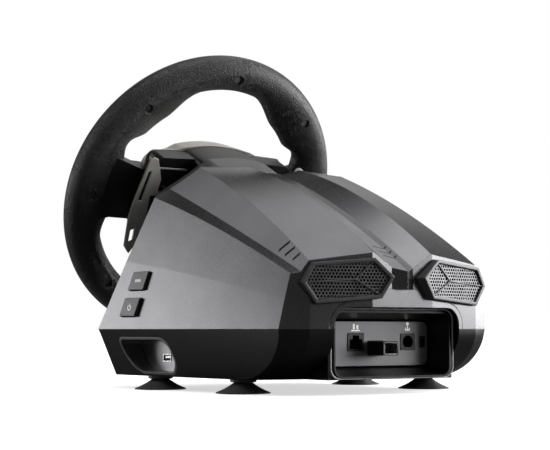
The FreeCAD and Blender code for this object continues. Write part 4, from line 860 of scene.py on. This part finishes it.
def rounded_path(half_width, half_height, radius, steps=10):
    """Points along a rounded rectangle, anticlockwise, with the outward direction of each."""
    points, outward = [], []
    for cx, cy, first in ((half_width - radius, half_height - radius, 0),
                          (radius - half_width, half_height - radius, 90),
                          (radius - half_width, radius - half_height, 180),
                          (half_width - radius, radius - half_height, 270)):
        angle = np.radians(first + np.linspace(0, 90, steps))
        away = np.stack([np.cos(angle), np.sin(angle)], -1)
        points.append(np.array([cx, cy]) + radius * away)
        outward.append(away)
    return np.concatenate(points), np.concatenate(outward)


def lip(path, outward, radius, sides=8):
    """A round bead along a closed path: a circle carried round it."""
    angle = np.arange(sides) * 2 * np.pi / sides
    side = outward[:, None, :] * (radius * np.cos(angle))[None, :, None]
    flat = path[:, None, :] + side
    depth = np.broadcast_to(radius * np.sin(angle), flat.shape[:2])
    points = np.concatenate([flat, depth[..., None]], -1).reshape(-1, 3)
    return points, grid_faces(len(path), sides)


tub_low, tub_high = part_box("port_tub")
LIP_RADIUS, LIP_INSET, LIP_CORNER = 0.7, 0.9, 8.4
MOUTH_FRAME = frame_matrix(
    Vector((0, tub_high.y - LIP_RADIUS * MM, (tub_low.z + tub_high.z) / 2)), LEFT, UP, REAR)
path, outward = rounded_path((tub_high.x - tub_low.x) / 2 / MM - LIP_INSET,
                             (tub_high.z - tub_low.z) / 2 / MM - LIP_INSET, LIP_CORNER)
points, faces = lip(path, outward, LIP_RADIUS)
# the lip's pale colour is a painted highlight round the bay's mouth
piece("bay_lip", to_row(points, MOUTH_FRAME), faces, LIP_PAINTED_HIGHLIGHT, BASE)

# ---------------------------------------------------------------- camera, light and floor
EYE = Vector((0.7395, 1.1054, 0.0500))
LOOK_AZIMUTH, LOOK_PITCH = math.radians(146.10), math.radians(4.02)
LENS_MM, SENSOR_MM = 98.07, 36.0
FAR_END = 100.0                  # metres, past the floor's far edge
camera_data = bpy.data.cameras.new("camera")
camera = bpy.data.objects.new("camera", camera_data)
bpy.context.scene.collection.objects.link(camera)
look = Vector((-math.sin(LOOK_AZIMUTH) * math.cos(LOOK_PITCH),
               math.cos(LOOK_AZIMUTH) * math.cos(LOOK_PITCH), math.sin(LOOK_PITCH)))
camera.location = EYE
camera.rotation_mode = "QUATERNION"
camera.rotation_quaternion = look.to_track_quat("-Z", "Y")
camera_data.lens = LENS_MM
camera_data.sensor_width = SENSOR_MM
camera_data.clip_end = FAR_END
bpy.context.scene.camera = camera
bpy.context.scene.view_settings.view_transform = "Standard"

# Soft boxes: direction from the object, half angle and fade in degrees, brightness.
SOFT_BOXES = [
    ((0.49, -0.87, -0.02), 8, 12, 6.5),       # strip beside the right flank
    ((0.62, -0.56, 0.55), 8, 14, 1.3),        # its upper end
    ((-0.96, 0.28, 0.05), 22, 24, 9.0),       # box behind and to the left
    ((0.10, 0.04, 0.99), 12, 15, 3.6),        # overhead box
    ((-0.52, -0.28, 0.81), 8, 13, 1.7),       # its left wing
    ((-0.50, -0.76, 0.42), 6, 16, 0.5),       # weak fill over the rim
]
ROOM = 0.10                      # light that comes from everywhere
WHITE = (1.0, 1.0, 1.0, 1.0)


def studio():
    """White backdrop for the eye; for light, a dim room with soft boxes at infinity."""
    world = bpy.data.worlds.new("studio")
    bpy.context.scene.world = world
    world.use_nodes = True
    tree = world.node_tree
    tree.nodes.clear()
    way = node(tree, "ShaderNodeTexCoord").outputs["Generated"]
    total = ROOM
    for direction, half, fade, strength in SOFT_BOXES:
        axis = Vector(direction).normalized()
        cosine = node(tree, "ShaderNodeVectorMath", {0: way, 1: tuple(axis)},
                      operation="DOT_PRODUCT")
        lit = node(tree, "ShaderNodeMapRange",
                   {"Value": cosine.outputs["Value"],
                    "From Min": math.cos(math.radians(half + fade)),
                    "From Max": math.cos(math.radians(half)), "To Min": 0.0,
                    "To Max": strength}, interpolation_type="SMOOTHSTEP").outputs["Result"]
        total = node(tree, "ShaderNodeMath", {0: total, 1: lit}, operation="ADD").outputs[0]
    seen = node(tree, "ShaderNodeLightPath").outputs["Is Camera Ray"]
    light = node(tree, "ShaderNodeBackground", {"Strength": total})
    backdrop = node(tree, "ShaderNodeBackground", {"Color": WHITE, "Strength": 1.0})
    mix = node(tree, "ShaderNodeMixShader",
               {0: seen, 1: light.outputs[0], 2: backdrop.outputs[0]})
    node(tree, "ShaderNodeOutputWorld", {"Surface": mix.outputs[0]})


studio()
FLOOR_HALF = 30.0
FLOOR_GAP = 0.2 * MM             # keeps the cups' lips clear of the floor's plane
FLOOR_GLOW = 0.62                # lifts the floor to the backdrop's white
FLOOR_RETURN = (0.14, 0.14, 0.14, 1.0)       # how much of the light it throws back up


def pale_floor():
    """A large plain pale floor, a little below the cups.  It looks white, and gives the
    object little light from below."""
    material, tree, shader = start_material("pale_floor")
    place = node(tree, "ShaderNodeTexCoord").outputs["Object"]
    blotch = node(tree, "ShaderNodeTexNoise",
                  {"Vector": place, "Scale": scale_of(400.0), "Detail": 3.0}).outputs["Fac"]
    node(tree, "ShaderNodeMix",
         {"Factor": blotch, MIX_A: linear("f6f6f6"), MIX_B: linear("fafafa")},
         data_type="RGBA", feeds={MIX_OUT: shader.inputs["Base Color"]})
    shader.inputs["Roughness"].default_value = 0.8
    shader.inputs["Emission Color"].default_value = WHITE
    shader.inputs["Emission Strength"].default_value = FLOOR_GLOW
    dim = node(tree, "ShaderNodeBsdfDiffuse", {"Color": FLOOR_RETURN})
    seen = node(tree, "ShaderNodeLightPath").outputs["Is Camera Ray"]
    mix = node(tree, "ShaderNodeMixShader", {0: seen, 1: dim.outputs[0], 2: shader.outputs[0]})
    end = [n for n in tree.nodes if n.type == "OUTPUT_MATERIAL"][0]
    tree.links.new(mix.outputs[0], end.inputs["Surface"])
    level = CAD_LOW.z - FLOOR_GAP
    corners = [(x * FLOOR_HALF, y * FLOOR_HALF, level)
               for x, y in ((-1, -1), (1, -1), (1, 1), (-1, 1))]
    mesh = bpy.data.meshes.new("floor")
    mesh.from_pydata(corners, [], [(0, 1, 2, 3)])
    mesh.materials.append(material)
    floor = bpy.data.objects.new("floor", mesh)
    bpy.context.scene.collection.objects.link(floor)


pale_floor()
